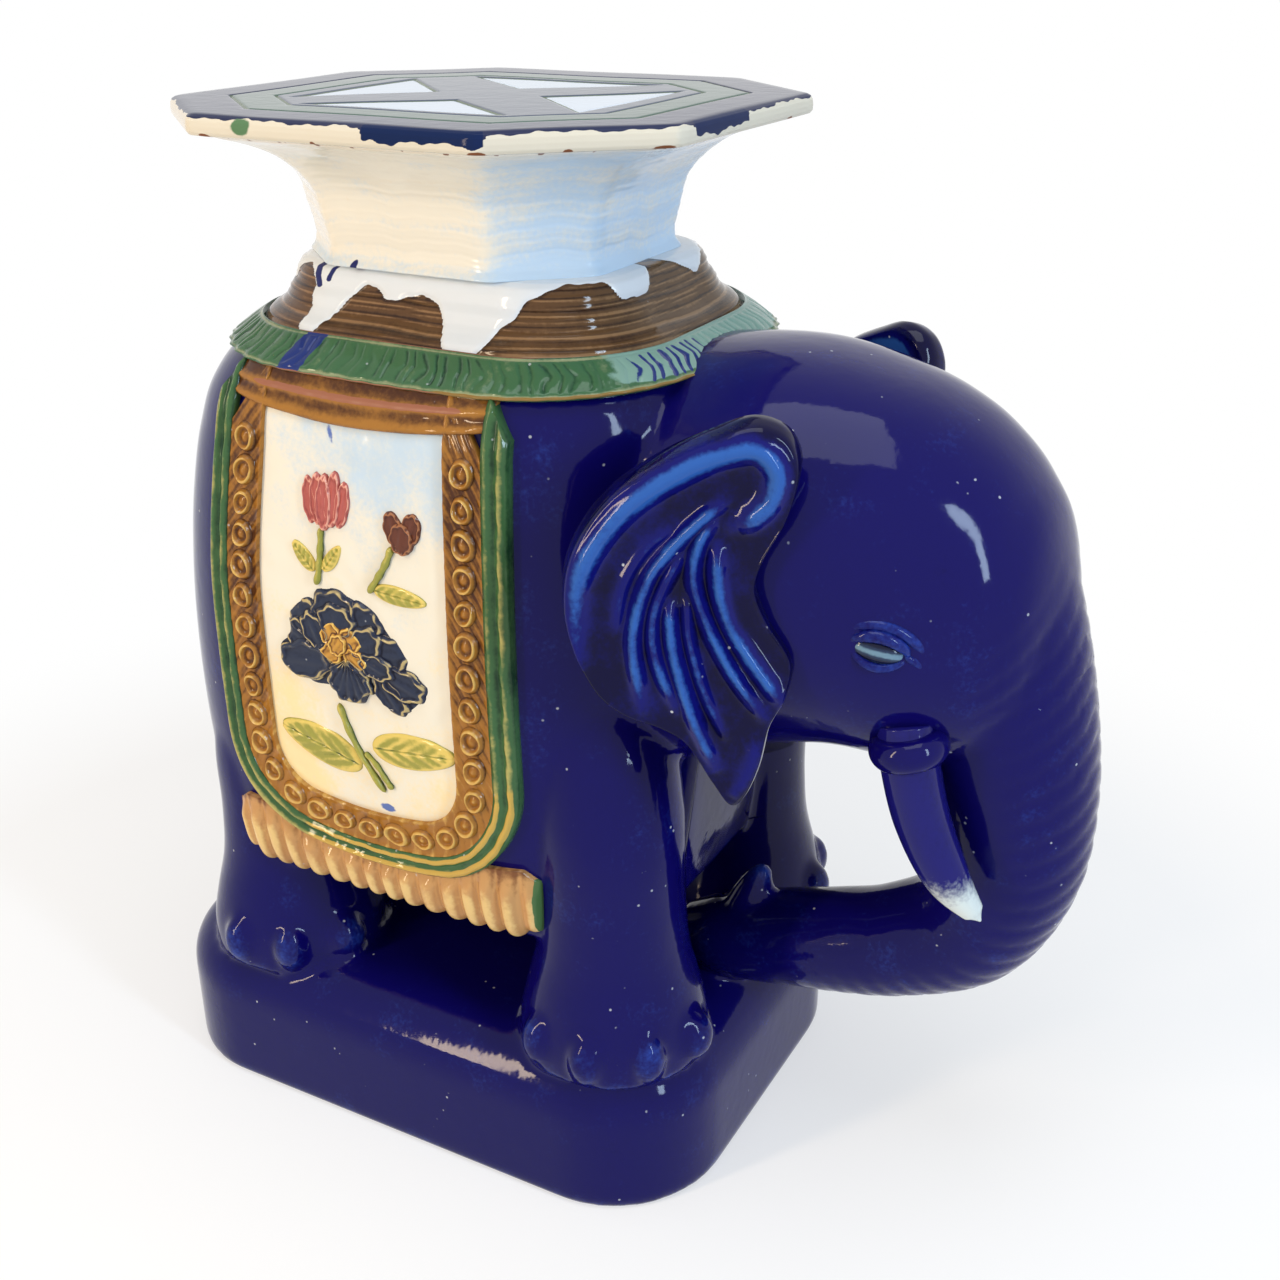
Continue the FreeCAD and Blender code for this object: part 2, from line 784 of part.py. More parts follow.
def tusk_socket(points, solid):
    """A clay ring round the tusk's root."""
    turn = Rotation(Vector(0, 0, 1), points[2] - points[1])
    ring = document.addObject("Part::Cylinder", "tusk_socket_ring")
    ring.setExpression("Radius", "sizes.tusk_socket_radius")
    ring.setExpression("Height", "sizes.tusk_socket_height")
    start = points[1] - turn.multVec(Vector(0, 0, size("tusk_socket_height") / 2))
    ring.Placement = Placement(start, turn)
    rounded = document.addObject("Part::Fillet", "tusk_socket_round")
    document.recompute()
    rounded.Base = ring
    radius = size("tusk_socket_radius") - size("tusk_radius")
    rounded.Edges = [(1, radius, radius), (3, radius, radius)]
    return cut("tusk_socket", rounded, *solid)


def ear_slab():
    """The ear flap: its outline in a plane turned out from the head, full in the
    middle of its thickness and drawn in a little at both faces."""
    turn = math.radians(EAR_TURN_DEGREES)
    back = Vector(-math.cos(turn), -math.sin(turn), 0)
    out = Vector(math.sin(turn), -math.cos(turn), 0)
    spread = size("head_half_width") * HEAD_LEVEL_SHARES[EAR_LEVEL][1] - size("ear_sink")
    root = Vector(rise((), *HEAD_START, ("ear_forward", 1.0)), -spread,
                  rise(HEAD_CENTRE, ("ear_drop", -1.0)))
    points = []
    middle = Vector(0, 0, 0)
    for along, up in EAR_OUTLINE_SHARES:
        place = root + back * (along * size("ear_width"))
        place.z += up * size("ear_height")
        points.append(place)
        middle += place * (1.0 / len(EAR_OUTLINE_SHARES))
    wires = []
    for step, share in ((-0.5, EAR_FACE_SHARE), (0.0, 1.0), (0.5, EAR_FACE_SHARE)):
        drawn = [middle + (place - middle) * share for place in points]
        moved = [place + out * (step * size("ear_thickness")) for place in drawn]
        arcs = []
        for first in range(0, len(moved), 2):
            last = (first + 2) % len(moved)
            arcs.append(Part.Arc(moved[first], moved[first + 1], moved[last]).toShape())
        wires.append(Part.Wire(arcs))
    item = document.addObject("Part::Feature", "ear_slab")
    item.Shape = Part.makeLoft(wires, True, True)
    return item


def eye_place():
    """The middle of the eye, a little inside the side of the head."""
    along, width = HEAD_LEVEL_SHARES[EYE_LEVEL][:2]
    return Vector(rise((), *HEAD_START, ("head_length", along)),
                  -total(("head_half_width", width), ("eye_sink", -1.0))[1],
                  rise(HEAD_CENTRE, ("eye_lift", 1.0)))


def tail_line():
    """The tail's line down the rump, with a tuft at its end."""
    top = rise(BELLY, ("tail_root_rise", 1.0))
    points = []
    radii = []
    for down, radius in TAIL_SHARES:
        height = top - down * size("tail_length")
        reach = size("body_rear") - radius * size("tail_tuft_radius") * TAIL_SINK_SHARE
        points.append(Vector(-reach, 0, height))
        radii.append(total(("tail_tuft_radius", radius)))
    return points, radii


def apron_sketch(body, name, *grow):
    """The side cloth's outline: straight sides, round lower corners and a lower
    edge that sweeps down to its middle, grown all round but at the top."""
    sketch = new_sketch(body, name, "XZ_Plane", None)
    shift = size("cloth_rear_shift")
    width = total(("panel_half_width", 1.0), *grow)
    corner = total(("panel_corner", 1.0), *grow)
    sweep = total(("panel_sweep", 1.0), *grow)
    top = total(*BACK, ("cloth_top_drop", -1.0))
    low = total(*BACK, ("cloth_top_drop", -1.0), ("panel_height", -1.0), *[
        (alias, -share) for alias, share in grow])
    w, r, s = width[1], corner[1], sweep[1]
    middle = low[1] + s
    knee = middle - math.sqrt((s - r) ** 2 - (w - r) ** 2)
    lean = math.atan2(w - r, middle - knee)
    up = Vector(0, 0, 1)
    left, right = -shift - w, -shift + w
    down = -math.pi / 2
    arcs = (
        (left + r, knee, r, math.pi, down - lean + 2 * math.pi),
        (-shift, middle, s, down - lean, down + lean),
        (right - r, knee, r, down + lean, 0.0),
    )
    sketch.addGeometry(Part.LineSegment(Vector(left, top[1], 0), Vector(left, knee, 0)))
    for x, z, radius, start, end in arcs:
        sketch.addGeometry(Part.ArcOfCircle(Part.Circle(Vector(x, z, 0), up, radius), start, end))
    sketch.addGeometry(Part.LineSegment(Vector(right, knee, 0), Vector(right, top[1], 0)))
    sketch.addGeometry(Part.LineSegment(Vector(right, top[1], 0), Vector(left, top[1], 0)))
    sketch.addConstraint(Constraint("Tangent", 0, 2, 1, 1))
    sketch.addConstraint(Constraint("Tangent", 1, 2, 2, 1))
    sketch.addConstraint(Constraint("Tangent", 2, 2, 3, 1))
    sketch.addConstraint(Constraint("Tangent", 3, 2, 4, 1))
    sketch.addConstraint(Constraint("Coincident", 4, 2, 5, 1))
    sketch.addConstraint(Constraint("Coincident", 5, 2, 0, 1))
    sketch.addConstraint(Constraint("Vertical", 0))
    sketch.addConstraint(Constraint("Vertical", 4))
    sketch.addConstraint(Constraint("Horizontal", 5))
    bound(sketch, "Radius", 1, corner)
    bound(sketch, "Radius", 2, sweep)
    bound(sketch, "Radius", 3, corner)
    rear = total(("cloth_rear_shift", 1.0), ("panel_half_width", 1.0), *grow)
    full = total(("panel_half_width", 2.0), *[(alias, 2.0 * share) for alias, share in grow])
    centre = total(
        *BACK, ("cloth_top_drop", -1.0), ("panel_height", -1.0), ("panel_sweep", 1.0))
    bound(sketch, "DistanceX", 5, 2, -1, 1, rear)
    bound(sketch, "DistanceX", 5, 2, 5, 1, full)
    bound(sketch, "DistanceY", -1, 1, 5, 1, top)
    bound(sketch, "DistanceY", -1, 1, 2, 3, centre)
    return sketch


def apron(name, *grow):
    """A block through the side of the body with the cloth's outline."""
    body = new_body(name)
    outline = apron_sketch(body, name + "_outline", *grow)
    pad(body, outline, total(("side_reach", 1.0)))
    return body


def bead_places():
    """Places along the middle of the border, down one side, round and up the other."""
    half = size("border_width") / 2
    w = size("panel_half_width") + half
    r = size("panel_corner") + half
    s = size("panel_sweep") + half
    pitch = size("bead_pitch")
    top = rise(BACK, ("cloth_top_drop", -1.0))
    middle = top - size("panel_height") + size("panel_sweep")
    knee = middle - math.sqrt((s - r) ** 2 - (w - r) ** 2)
    lean = math.atan2(w - r, middle - knee)
    quarter = math.pi / 2
    straight = top - knee
    bend = r * (quarter - lean)
    run = straight + bend + s * lean
    count = int(run / pitch)
    places = []
    for number in range(-count, count + 1):
        along = abs(number) * pitch
        side = -1.0 if number < 0 else 1.0
        if along < s * lean:
            angle = along / s
            x = s * math.sin(angle)
            z = middle - s * math.cos(angle)
        elif along < s * lean + bend:
            angle = lean + (along - s * lean) / r
            x = w - r + r * math.sin(angle)
            z = knee - r * math.cos(angle)
        else:
            x = w
            z = knee + along - s * lean - bend
        if z < top - size("bead_radius"):
            places.append((side * x - size("cloth_rear_shift"), z))
    return places


def side_rod(name, x, z, radius):
    """A rod through the side at a place, which cuts a round piece out of a skin."""
    rod = document.addObject("Part::Cylinder", name)
    rod.setExpression("Radius", radius[0])
    rod.setExpression("Height", "sizes.side_reach")
    rod.Placement = Placement(Vector(x, 0, z), Rotation(Vector(1, 0, 0), 90))
    return rod


def side_petal(name, x, z, length, width, degrees):
    """A pointed leaf or petal through the side: where two round rods overlap."""
    bulge = (length[1] ** 2 + width[1] ** 2) / (4 * width[1])
    turn = math.radians(degrees)
    offset = bulge - width[1] / 2
    rods = []
    for hand in (-1, 1):
        cx = x - hand * offset * math.sin(turn)
        cz = z + hand * offset * math.cos(turn)
        rod = document.addObject("Part::Cylinder", "%s_%s" % (name, "ab"[hand > 0]))
        rod.setExpression("Radius", "((%s)^2 + (%s)^2) / (4 * (%s))" % (
            length[0], width[0], width[0]))
        rod.setExpression("Height", "sizes.side_reach")
        rod.Placement = Placement(Vector(cx, 0, cz), Rotation(Vector(1, 0, 0), 90))
        rods.append(rod)
    return common(name, *rods)


def sprig(name, shares):
    """Petals or leaves placed on the panel by shares of its size."""
    items = []
    foot = rise(BACK, ("cloth_top_drop", -1.0), ("panel_height", -1.0))
    for number, (across, up, length, width, degrees) in enumerate(shares):
        x = across * size("panel_half_width") - size("cloth_rear_shift")
        z = foot + up * size("panel_height")
        items.append(side_petal(
            "%s_%d" % (name, number), x, z,
            total(("panel_half_width", length)), total(("panel_half_width", width)), degrees))
    return items


def peony():
    """A ring of round petals and the round heart of the open flower."""
    foot = rise(BACK, ("cloth_top_drop", -1.0), ("panel_height", -1.0))
    half = size("panel_half_width")
    x = PEONY_PLACE_SHARES[0] * half - size("cloth_rear_shift")
    z = foot + PEONY_PLACE_SHARES[1] * size("panel_height")
    petals = []
    for number in range(PETAL_COUNT):
        angle = 2 * math.pi * number / PETAL_COUNT
        petals.append(side_rod(
            "peony_petal_%d" % number,
            x + half * PEONY_RADIUS_SHARE * math.cos(angle),
            z + half * PEONY_RADIUS_SHARE * math.sin(angle),
            total(("panel_half_width", PETAL_RADIUS_SHARE))))
    petals.append(side_rod("peony_middle", x, z, total(("panel_half_width", PEONY_RADIUS_SHARE))))
    heart = side_rod("peony_heart_rod", x, z, total(("panel_half_width", PEONY_HEART_SHARE)))
    return join("peony", petals), heart


def saddle_plan(body, name, offset, *grow):
    """The plan of the saddle's two pieces, grown or drawn in all round."""
    length = total(("collar_inner_length", 1.0), *grow)
    width = total(("collar_inner_width", 1.0), *grow)
    corner = total(("collar_inner_corner", 1.0), *grow)
    return rounded_sketch(body, name, length, length, width, corner, offset)


def platform():
    """The stepped mound under the seat's pedestal, with a hole through its middle."""
    body = new_body("platform_body")
    body.setExpression("Placement.Base.x", "sizes.saddle_shift")
    foot = total(*BACK)
    step = total(*BACK, ("collar_height", 1.0))
    ledge = total(*BACK, ("platform_step", 1.0))
    top = total(*PEDESTAL_FOOT)
    inset = ("platform_step_inset", -1.0)
    pad(body, saddle_plan(body, "platform_foot", foot), total(("collar_height", 1.0)))
    loft(body, "Additive", [
        saddle_plan(body, "platform_lower", step),
        saddle_plan(body, "platform_ledge", ledge, inset)])
    upper = body.newObject("PartDesign::AdditiveLoft", "platform_upper_loft")
    upper.Profile = saddle_plan(body, "platform_upper", ledge, inset)
    upper.Sections = [saddle_plan(body, "platform_top", top, ("platform_top_inset", -1.0))]
    hole = circle_sketch(body, "platform_hole", total(("platform_bore", 1.0)), foot)
    pad(body, hole, total(("platform_height", 1.0), ("cut_overrun", 1.0)), "Pocket", True)
    return body


def collar():
    """The incised band that slopes off round the foot of the platform."""
    body = new_body("collar_body")
    body.setExpression("Placement.Base.x", "sizes.saddle_shift")
    foot = total(*BACK)
    edge = total(*BACK, ("collar_edge", 1.0))
    top = total(*BACK, ("collar_height", 1.0))
    spread = ("collar_spread", 1.0)
    pad(body, saddle_plan(body, "collar_foot", foot, spread), total(("collar_edge", 1.0)))
    loft(body, "Additive", [
        saddle_plan(body, "collar_edge", edge, spread),
        saddle_plan(body, "collar_top", top, ("collar_spread", COLLAR_TOP_SHARE))])
    hole = saddle_plan(body, "collar_hole", foot)
    pad(body, hole, total(("collar_height", 1.0), ("cut_overrun", 1.0)), "Pocket", True)
    return body


def pedestal():
    """The waisted eight sided neck, open through its middle."""
    body = new_body("pedestal_body")
    sketches = []
    for number, (up, share) in enumerate(PEDESTAL_LEVEL_SHARES):
        offset = total(*PEDESTAL_FOOT, ("pedestal_height", up))
        sketches.append(octagon_sketch(body, "pedestal_level_%d" % number, share, offset))
    loft(body, "Additive", sketches)
    bore = octagon_sketch(
        body, "pedestal_bore", PEDESTAL_WAIST_SHARE, total(*PEDESTAL_FOOT), ("pedestal_wall", -1.0))
    pad(body, bore, total(("pedestal_height", 1.0), ("cut_overrun", 1.0)), "Pocket", True)
    return body


def seat():
    """The eight sided slab: incised top, and below it a rim that drops into the
    pedestal's bore and keeps the slab in place."""
    body = new_body("seat_body")
    underside = total(*SEAT_UNDERSIDE)
    top = total(*SEAT_TOP)
    slab = pad(body, octagon_sketch(body, "seat_outline", 1.0, underside),
               total(("seat_thickness", 1.0)))
    document.recompute()
    near = top[1] * TOUCH_SHARE
    names = []
    for number, edge in enumerate(slab.Shape.Edges, start=1):
        if edge.BoundBox.ZMin > top[1] - near:
            names.append("Edge%d" % number)
    bevel = body.newObject("PartDesign::Chamfer", "seat_bevel_cut")
    bevel.Base = (slab, names)
    bevel.setExpression("Size", "sizes.seat_bevel")
    rim = new_sketch(body, "seat_register", "XY_Plane", total(*SEAT_UNDERSIDE, ("register_height", -1.0)))
    fit = (("pedestal_wall", -1.0), ("register_clearance", -1.0))
    add_octagon(rim, 0, PEDESTAL_WAIST_SHARE, *fit)
    add_octagon(rim, 8, PEDESTAL_WAIST_SHARE, *fit, ("register_wall", -1.0))
    pad(body, rim, total(("register_height", 1.0)))
    lines = new_sketch(body, "seat_lines", "XY_Plane", top)
    inset = ("seat_band_inset", -1.0)
    line = ("seat_line_width", -1.0)
    band = ("seat_band_width", -1.0)
    add_octagon(lines, 0, 1.0, inset)
    add_octagon(lines, 8, 1.0, inset, line)
    add_octagon(lines, 16, 1.0, inset, line, band)
    add_octagon(lines, 24, 1.0, inset, line, line, band)
    pad(body, lines, total(("seat_incision", 1.0)), "Pocket")
    wedges = new_sketch(body, "seat_wedges", "XY_Plane", top)
    add_wedges(wedges)
    pad(body, wedges, total(("seat_incision", 1.0)), "Pocket")
    return body


# The base and the legs
base = plinth()
keep("plinth", base)
front_column = column("front_column", "leg_front_reach", 1)
rear_column = column("rear_column", "leg_rear_reach", -1)
columns = (front_column, rear_column)
both_sides("leg_front", leg("leg_front", front_column, "leg_front_reach", 1, base))
both_sides("leg_rear", leg("leg_rear", rear_column, "leg_rear_reach", -1, base))
both_sides("toenails_front", toenails(
    "toenails_front", FRONT_TOENAIL_ANGLES, "leg_front_reach", 1, front_column, base))
both_sides("toenails_rear", toenails(
    "toenails_rear", REAR_TOENAIL_ANGLES, "leg_rear_reach", -1, rear_column, base))

# The body, moulded in two halves
outer_hull = hull("outer_hull")
inner_hull = hull("inner_hull", ("body_wall", -1.0), inset="body_wall")
vent = document.addObject("Part::Cylinder", "body_vent_rod")
vent.setExpression("Radius", "sizes.body_vent")
vent.setExpression("Height", "sizes.body_wall * 2 + sizes.cut_overrun")
vent.setExpression("Placement.Base.z", total(*BACK, ("body_wall", -2.0))[0])
half_space = document.addObject("Part::Box", "right_half_space")
half_space.setExpression("Length", "sizes.side_reach * 3")
half_space.setExpression("Width", "sizes.side_reach")
half_space.setExpression("Height", "sizes.side_reach * 3")
half_space.setExpression("Placement.Base.x", "-sizes.side_reach")
half_space.setExpression("Placement.Base.y", "-sizes.side_reach")
shell = cut("body_shell", outer_hull, inner_hull, vent, *columns)
both_sides("body_shell", common("body_shell_half", shell, half_space))

# The head, also in two halves
outer_head = head_form("outer_head", HEAD_LEVEL_SHARES)
inner_head = head_form("inner_head", HEAD_LEVEL_SHARES[:-1], ("head_wall", -1.0))
head = cut("head", outer_head, inner_head, outer_hull, *columns)
both_sides("head_shell", common("head_shell_half", head, half_space))

# The trunk
upper, upper_radii, lower, lower_radii = trunk_line()
trunk_upper = path_loft("trunk_upper", upper, upper_radii)
bores = [total(("trunk_radius", share[2]), ("trunk_wall", -1.0)) for share in TRUNK_UPPER_SHARES]
trunk_bore = path_loft("trunk_bore", upper, bores)
trunk_lower = path_loft("trunk_lower", lower, lower_radii)
tip_foot = lower[TRUNK_TIP_LEVEL].z
tip_points = []
tip_radii = []
for along, up, radius in TRUNK_TIP_SHARES:
    height = tip_foot + up * size("trunk_tip_height")
    tip_points.append(Vector(along * rise((), *TRUNK_REACH), 0, height))
    tip_radii.append(total(("trunk_tip_radius", radius)))
trunk_tip = path_loft("trunk_tip", tip_points, tip_radii)
keep("trunk_upper", cut("trunk_upper", trunk_upper, trunk_bore, outer_head, trunk_lower))
keep("trunk_lower", cut("trunk_lower", trunk_lower, base))
keep("trunk_tip", cut("trunk_tip", trunk_tip, trunk_lower))

# Tusks, ears, eyes and tail
points, radii = tusk_points()
tusk = path_loft("tusk", points, radii)
face = (outer_head, trunk_upper, trunk_lower)
both_sides("tusk", cut("tusk", tusk, *face))
both_sides("tusk_socket", tusk_socket(points, (tusk,) + face))
both_sides("ear", cut("ear", ear_slab(), outer_head, outer_hull, *columns))
eye = document.addObject("Part::Sphere", "eye_ball")
eye.setExpression("Radius", "sizes.eye_radius")
eye.Placement = Placement(eye_place(), Rotation())
lids = document.addObject("Part::Torus", "eye_lids")
lids.setExpression("Radius1", "sizes.eyelid_radius")
lids.setExpression("Radius2", "sizes.eyelid_thickness")
lids.Placement = Placement(
    eye_place() - Vector(0, size("eye_sink"), 0), Rotation(Vector(1, 0, 0), 90))
both_sides("eyeball", cut("eyeball", eye, outer_head))
both_sides("eyelids", cut("eyelids", lids, outer_head, eye))
keep("tail", cut("tail", path_loft("tail", *tail_line(), straight=True), outer_hull))

# The saddle and the seat
keep("saddle_platform", platform())
keep("saddle_collar", collar())
keep("seat_pedestal", pedestal())
keep("seat_slab", seat())

# The cloth that hangs down each side, and what is modelled on it
panel_block = apron("panel_block")
border = ("border_width", 1.0)
rim = ("rim_width", 1.0)
fringe = ("fringe_height", 1.0)
border_block = apron("border_block", border)
rim_block = apron("rim_block", border, rim)
fringe_block = apron("fringe_block", border, rim, fringe)
panel_skin = hull("panel_skin", ("panel_thickness", 1.0))
border_skin = hull("border_skin", ("border_thickness", 1.0))
bead_skin = hull("bead_skin", ("border_thickness", 1.0), ("bead_rise", 1.0))
rim_skin = hull("rim_skin", ("rim_thickness", 1.0))
fringe_skin = hull("fringe_skin", ("fringe_thickness", 1.0))
relief_skin = hull("relief_skin", ("relief_thickness", 1.0))
both_sides("cloth_panel", cut(
    "cloth_panel", common("cloth_panel", panel_skin, panel_block), outer_hull))
both_sides("cloth_border", cut(
    "cloth_border", common("cloth_border", border_skin, border_block), outer_hull, panel_block))
both_sides("cloth_rim", cut(
    "cloth_rim", common("cloth_rim", rim_skin, rim_block), outer_hull, border_block))
fringe_box = document.addObject("Part::Box", "fringe_box")
fringe_half = total(
    ("panel_half_width", 1.0), ("border_width", 1.0), ("rim_width", 1.0), ("fringe_side", 1.0))[0]
fringe_box.setExpression("Length", "(%s) * 2" % fringe_half)
fringe_box.setExpression("Width", "sizes.side_reach")
fringe_box.setExpression("Height", total(("fringe_rise", 1.0), ("fringe_height", 1.0))[0])
fringe_box.setExpression("Placement.Base.x", "-sizes.cloth_rear_shift - (%s)" % fringe_half)
fringe_box.setExpression("Placement.Base.y", "-sizes.side_reach")
fringe_box.setExpression("Placement.Base.z", total(*BELLY, ("belly_clearance", 1.0))[0])
both_sides("cloth_fringe", cut(
    "cloth_fringe", common("cloth_fringe", common("fringe_span", fringe_skin, fringe_block), fringe_box),
    outer_hull, rim_block))
rods = []
for number, (x, z) in enumerate(bead_places()):
    rods.append(side_rod("bead_rod_%d" % number, x, z, total(("bead_radius", 1.0))))
both_sides("border_beads", cut(
    "border_beads", common("border_beads", bead_skin, join("border_beads", rods)), border_skin))
petals, heart = peony()
both_sides("peony", cut(
    "peony", common("peony", relief_skin, petals), panel_skin, heart))
both_sides("peony_heart", cut(
    "peony_heart", common("peony_heart", relief_skin, heart), panel_skin))
tulip = join("tulip", sprig("tulip_petal", TULIP_SHARES))
bud = sprig("bud_petal", BUD_SHARES)[0]
leaves = join("stem_and_leaves", sprig("leaf", LEAF_SHARES) + sprig("stem", STEM_SHARES))
both_sides("tulip", cut("tulip", common("tulip", relief_skin, tulip), panel_skin))
both_sides("flower_bud", cut("flower_bud", common("flower_bud", relief_skin, bud), panel_skin))
both_sides("stem_and_leaves", cut(
    "stem_and_leaves", common("stem_and_leaves", relief_skin, leaves), panel_skin, petals, tulip, bud))

document.recompute()
for item in document.Objects:
    if "Invalid" in item.State or "Error" in item.State:
        raise RuntimeError("%s did not build" % item.Label)
for item in pieces:
    if item.Shape.isNull() or not item.Shape.isValid() or not item.Shape.Solids:
        raise RuntimeError("%s has no sound shape" % item.Label)
os.makedirs("parts", exist_ok=True)
for item in pieces:
    item.Shape.exportStep("parts/%s.step" % item.Label)
    print("%-24s %2d solids %9.1f cm3" % (item.Label, len(item.Shape.Solids), item.Shape.Volume / 1000))
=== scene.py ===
# %% [markdown]
# A garden stool in the shape of an elephant. The real one is stoneware: thrown,
# moulded and modelled pieces are joined with slip, then glazed in cobalt, brown,
# green, ochre and white and fired. The imported model gives every piece its place
# and size, so it is loaded first.
# %% Load the frame
import bpy
import math
import numpy as np
from mathutils import Matrix, Vector


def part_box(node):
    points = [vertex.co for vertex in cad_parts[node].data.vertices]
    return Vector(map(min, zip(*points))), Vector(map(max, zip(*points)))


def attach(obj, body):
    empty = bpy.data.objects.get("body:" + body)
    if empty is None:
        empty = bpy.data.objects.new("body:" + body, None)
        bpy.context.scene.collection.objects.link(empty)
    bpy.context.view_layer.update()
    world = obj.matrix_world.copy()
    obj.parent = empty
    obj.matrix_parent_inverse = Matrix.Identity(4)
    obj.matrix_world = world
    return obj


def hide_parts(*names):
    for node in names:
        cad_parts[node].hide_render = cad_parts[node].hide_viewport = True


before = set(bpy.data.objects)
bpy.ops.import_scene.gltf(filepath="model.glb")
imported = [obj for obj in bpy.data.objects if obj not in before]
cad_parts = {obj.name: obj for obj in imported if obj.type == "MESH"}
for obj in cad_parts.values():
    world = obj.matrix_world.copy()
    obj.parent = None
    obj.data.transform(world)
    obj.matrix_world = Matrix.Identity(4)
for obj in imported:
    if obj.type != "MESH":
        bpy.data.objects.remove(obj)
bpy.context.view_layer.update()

# %% [markdown]
# The photograph was taken from above the elephant's right shoulder. The camera's
# place, tilt and focal length were worked out from the straight edges of the seat
# and from the plinth, so the render has the same perspective. A wrong lens would
# make the seat look too deep or too flat however good the pieces are.
# %% Camera
CAMERA_PLACE = Vector((0.4587, -0.6866, 0.6403))
CAMERA_TURN = math.radians(28.7206)
CAMERA_PITCH = math.radians(24.672)
CAMERA_ROLL = math.radians(-0.4645)
CAMERA_LENS = 44.48

forward = Vector((-math.sin(CAMERA_TURN) * math.cos(CAMERA_PITCH),
                  math.cos(CAMERA_TURN) * math.cos(CAMERA_PITCH),
                  -math.sin(CAMERA_PITCH)))
level = Vector((math.cos(CAMERA_TURN), math.sin(CAMERA_TURN), 0))
upright = level.cross(forward)
across = level * math.cos(CAMERA_ROLL) + upright * math.sin(CAMERA_ROLL)
over = upright * math.cos(CAMERA_ROLL) - level * math.sin(CAMERA_ROLL)
camera_data = bpy.data.cameras.new("camera")
camera_data.sensor_width = 36.0
camera_data.lens = CAMERA_LENS
camera = bpy.data.objects.new("camera", camera_data)
bpy.context.collection.objects.link(camera)
turn = Matrix((across, over, -forward)).transposed()
camera.matrix_world = Matrix.Translation(CAMERA_PLACE) @ turn.to_4x4()
bpy.context.scene.camera = camera
print("camera at", tuple(round(v, 3) for v in CAMERA_PLACE))

# %% [markdown]
# Clay forms have no sharp steps, so their sizes are written down at a few places
# and read off a smooth curve between them. An array of places goes in and an array
# of values comes out, so the shapes below are worked out as whole arrays, without a
# loop over vertices.
# %% Smooth curves and shares
HANDS = ("right", "left")


def corners(node):
    """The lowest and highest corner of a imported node, as arrays."""
    low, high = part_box(node)
    return np.array(low), np.array(high)


def smooth(places, values, at):
    """A smooth curve through values given at places: on each stretch a cubic
    whose slopes at its ends are the mean slopes there."""
    places = np.asarray(places, float)
    values = np.asarray(values, float)
    at = np.clip(at, places[0], places[-1])
    slope = np.gradient(values, places, axis=0)
    first = np.clip(np.searchsorted(places, at) - 1, 0, len(places) - 2)
    step = places[first + 1] - places[first]
    t = (at - places[first]) / step
    if values.ndim > 1:
        t = t[..., None]
        step = step[..., None]
    rise = (3 - 2 * t) * t * t
    lift = t * (1 - t)
    return (values[first] * (1 - rise) + values[first + 1] * rise
            + step * lift * ((1 - t) * slope[first] - t * slope[first + 1]))


def ease(value, low, high):
    """A share that goes smoothly from 0 at low to 1 at high."""
    t = np.clip((value - low) / (high - low), 0.0, 1.0)
    return t * t * (3 - 2 * t)


def bell(value, width):
    """A share that is 1 at 0 and falls off smoothly over a width to either side."""
    return np.exp(-(value / width) ** 2)


def circle(count):
    """Angles once round."""
    return np.arange(count) * 2 * math.pi / count


print("shares on a smooth step:", ease(np.linspace(0, 1, 5), 0, 1))

# %% [markdown]
# Every new piece is a closed skin over a grid of points: rings of points follow
# each other, and a small fan closes each end. The points come from a formula, as
# whole arrays. The enclosed volume tells whether the faces point outwards, which
# is simpler than keeping count of the direction in every formula.
# %% Closed skins from grids of points
def grid_faces(rows, columns, loop=False):
    """The quads of rings of points, numbered row by row. Each ring closes; in a
    loop the last ring also joins the first."""
    index = np.arange(rows * columns).reshape(rows, columns)
    if loop:
        index = np.concatenate([index, index[:1]], axis=0)
    index = np.concatenate([index, index[:, :1]], axis=1)
    return np.stack([index[:-1, :-1], index[:-1, 1:], index[1:, 1:], index[1:, :-1]],
                    axis=-1).reshape(-1, 4)


def volume(points, faces):
    """The signed volume that triangles enclose: a sixth of the sum of their
    corners' triple products."""
    a, b, c = (points[faces[:, k]] for k in range(3))
    return np.einsum("ij,ij->i", a, np.cross(b, c)).sum() / 6


def skin_data(points):
    """The vertices and faces of a closed skin over rings of points."""
    rows, columns = points.shape[:2]
    quads = grid_faces(rows, columns)
    flat = points.reshape(-1, 3)
    ends = np.stack([points[0].mean(axis=0), points[-1].mean(axis=0)])
    ring = np.arange(columns)
    after = np.roll(ring, -1)
    first = np.stack([np.full(columns, len(flat)), after, ring], axis=-1)
    last_row = (rows - 1) * columns
    last = np.stack([np.full(columns, len(flat) + 1), ring + last_row, after + last_row], axis=-1)
    flat = np.concatenate([flat, ends])
    halves = np.concatenate([quads[:, [0, 1, 2]], quads[:, [0, 2, 3]], first, last])
    if volume(flat, halves) < 0:
        quads, first, last = quads[:, ::-1], first[:, ::-1], last[:, ::-1]
    return flat, quads.tolist() + first.tolist() + last.tolist()


def loop_data(points):
    """The vertices and faces of a closed skin over rings that close into a loop."""
    quads = grid_faces(*points.shape[:2], loop=True)
    flat = points.reshape(-1, 3)
    halves = np.concatenate([quads[:, [0, 1, 2]], quads[:, [0, 2, 3]]])
    if volume(flat, halves) < 0:
        quads = quads[:, ::-1]
    return flat, quads.tolist()


print("three rings of four points have", len(grid_faces(3, 4)), "quads between them")

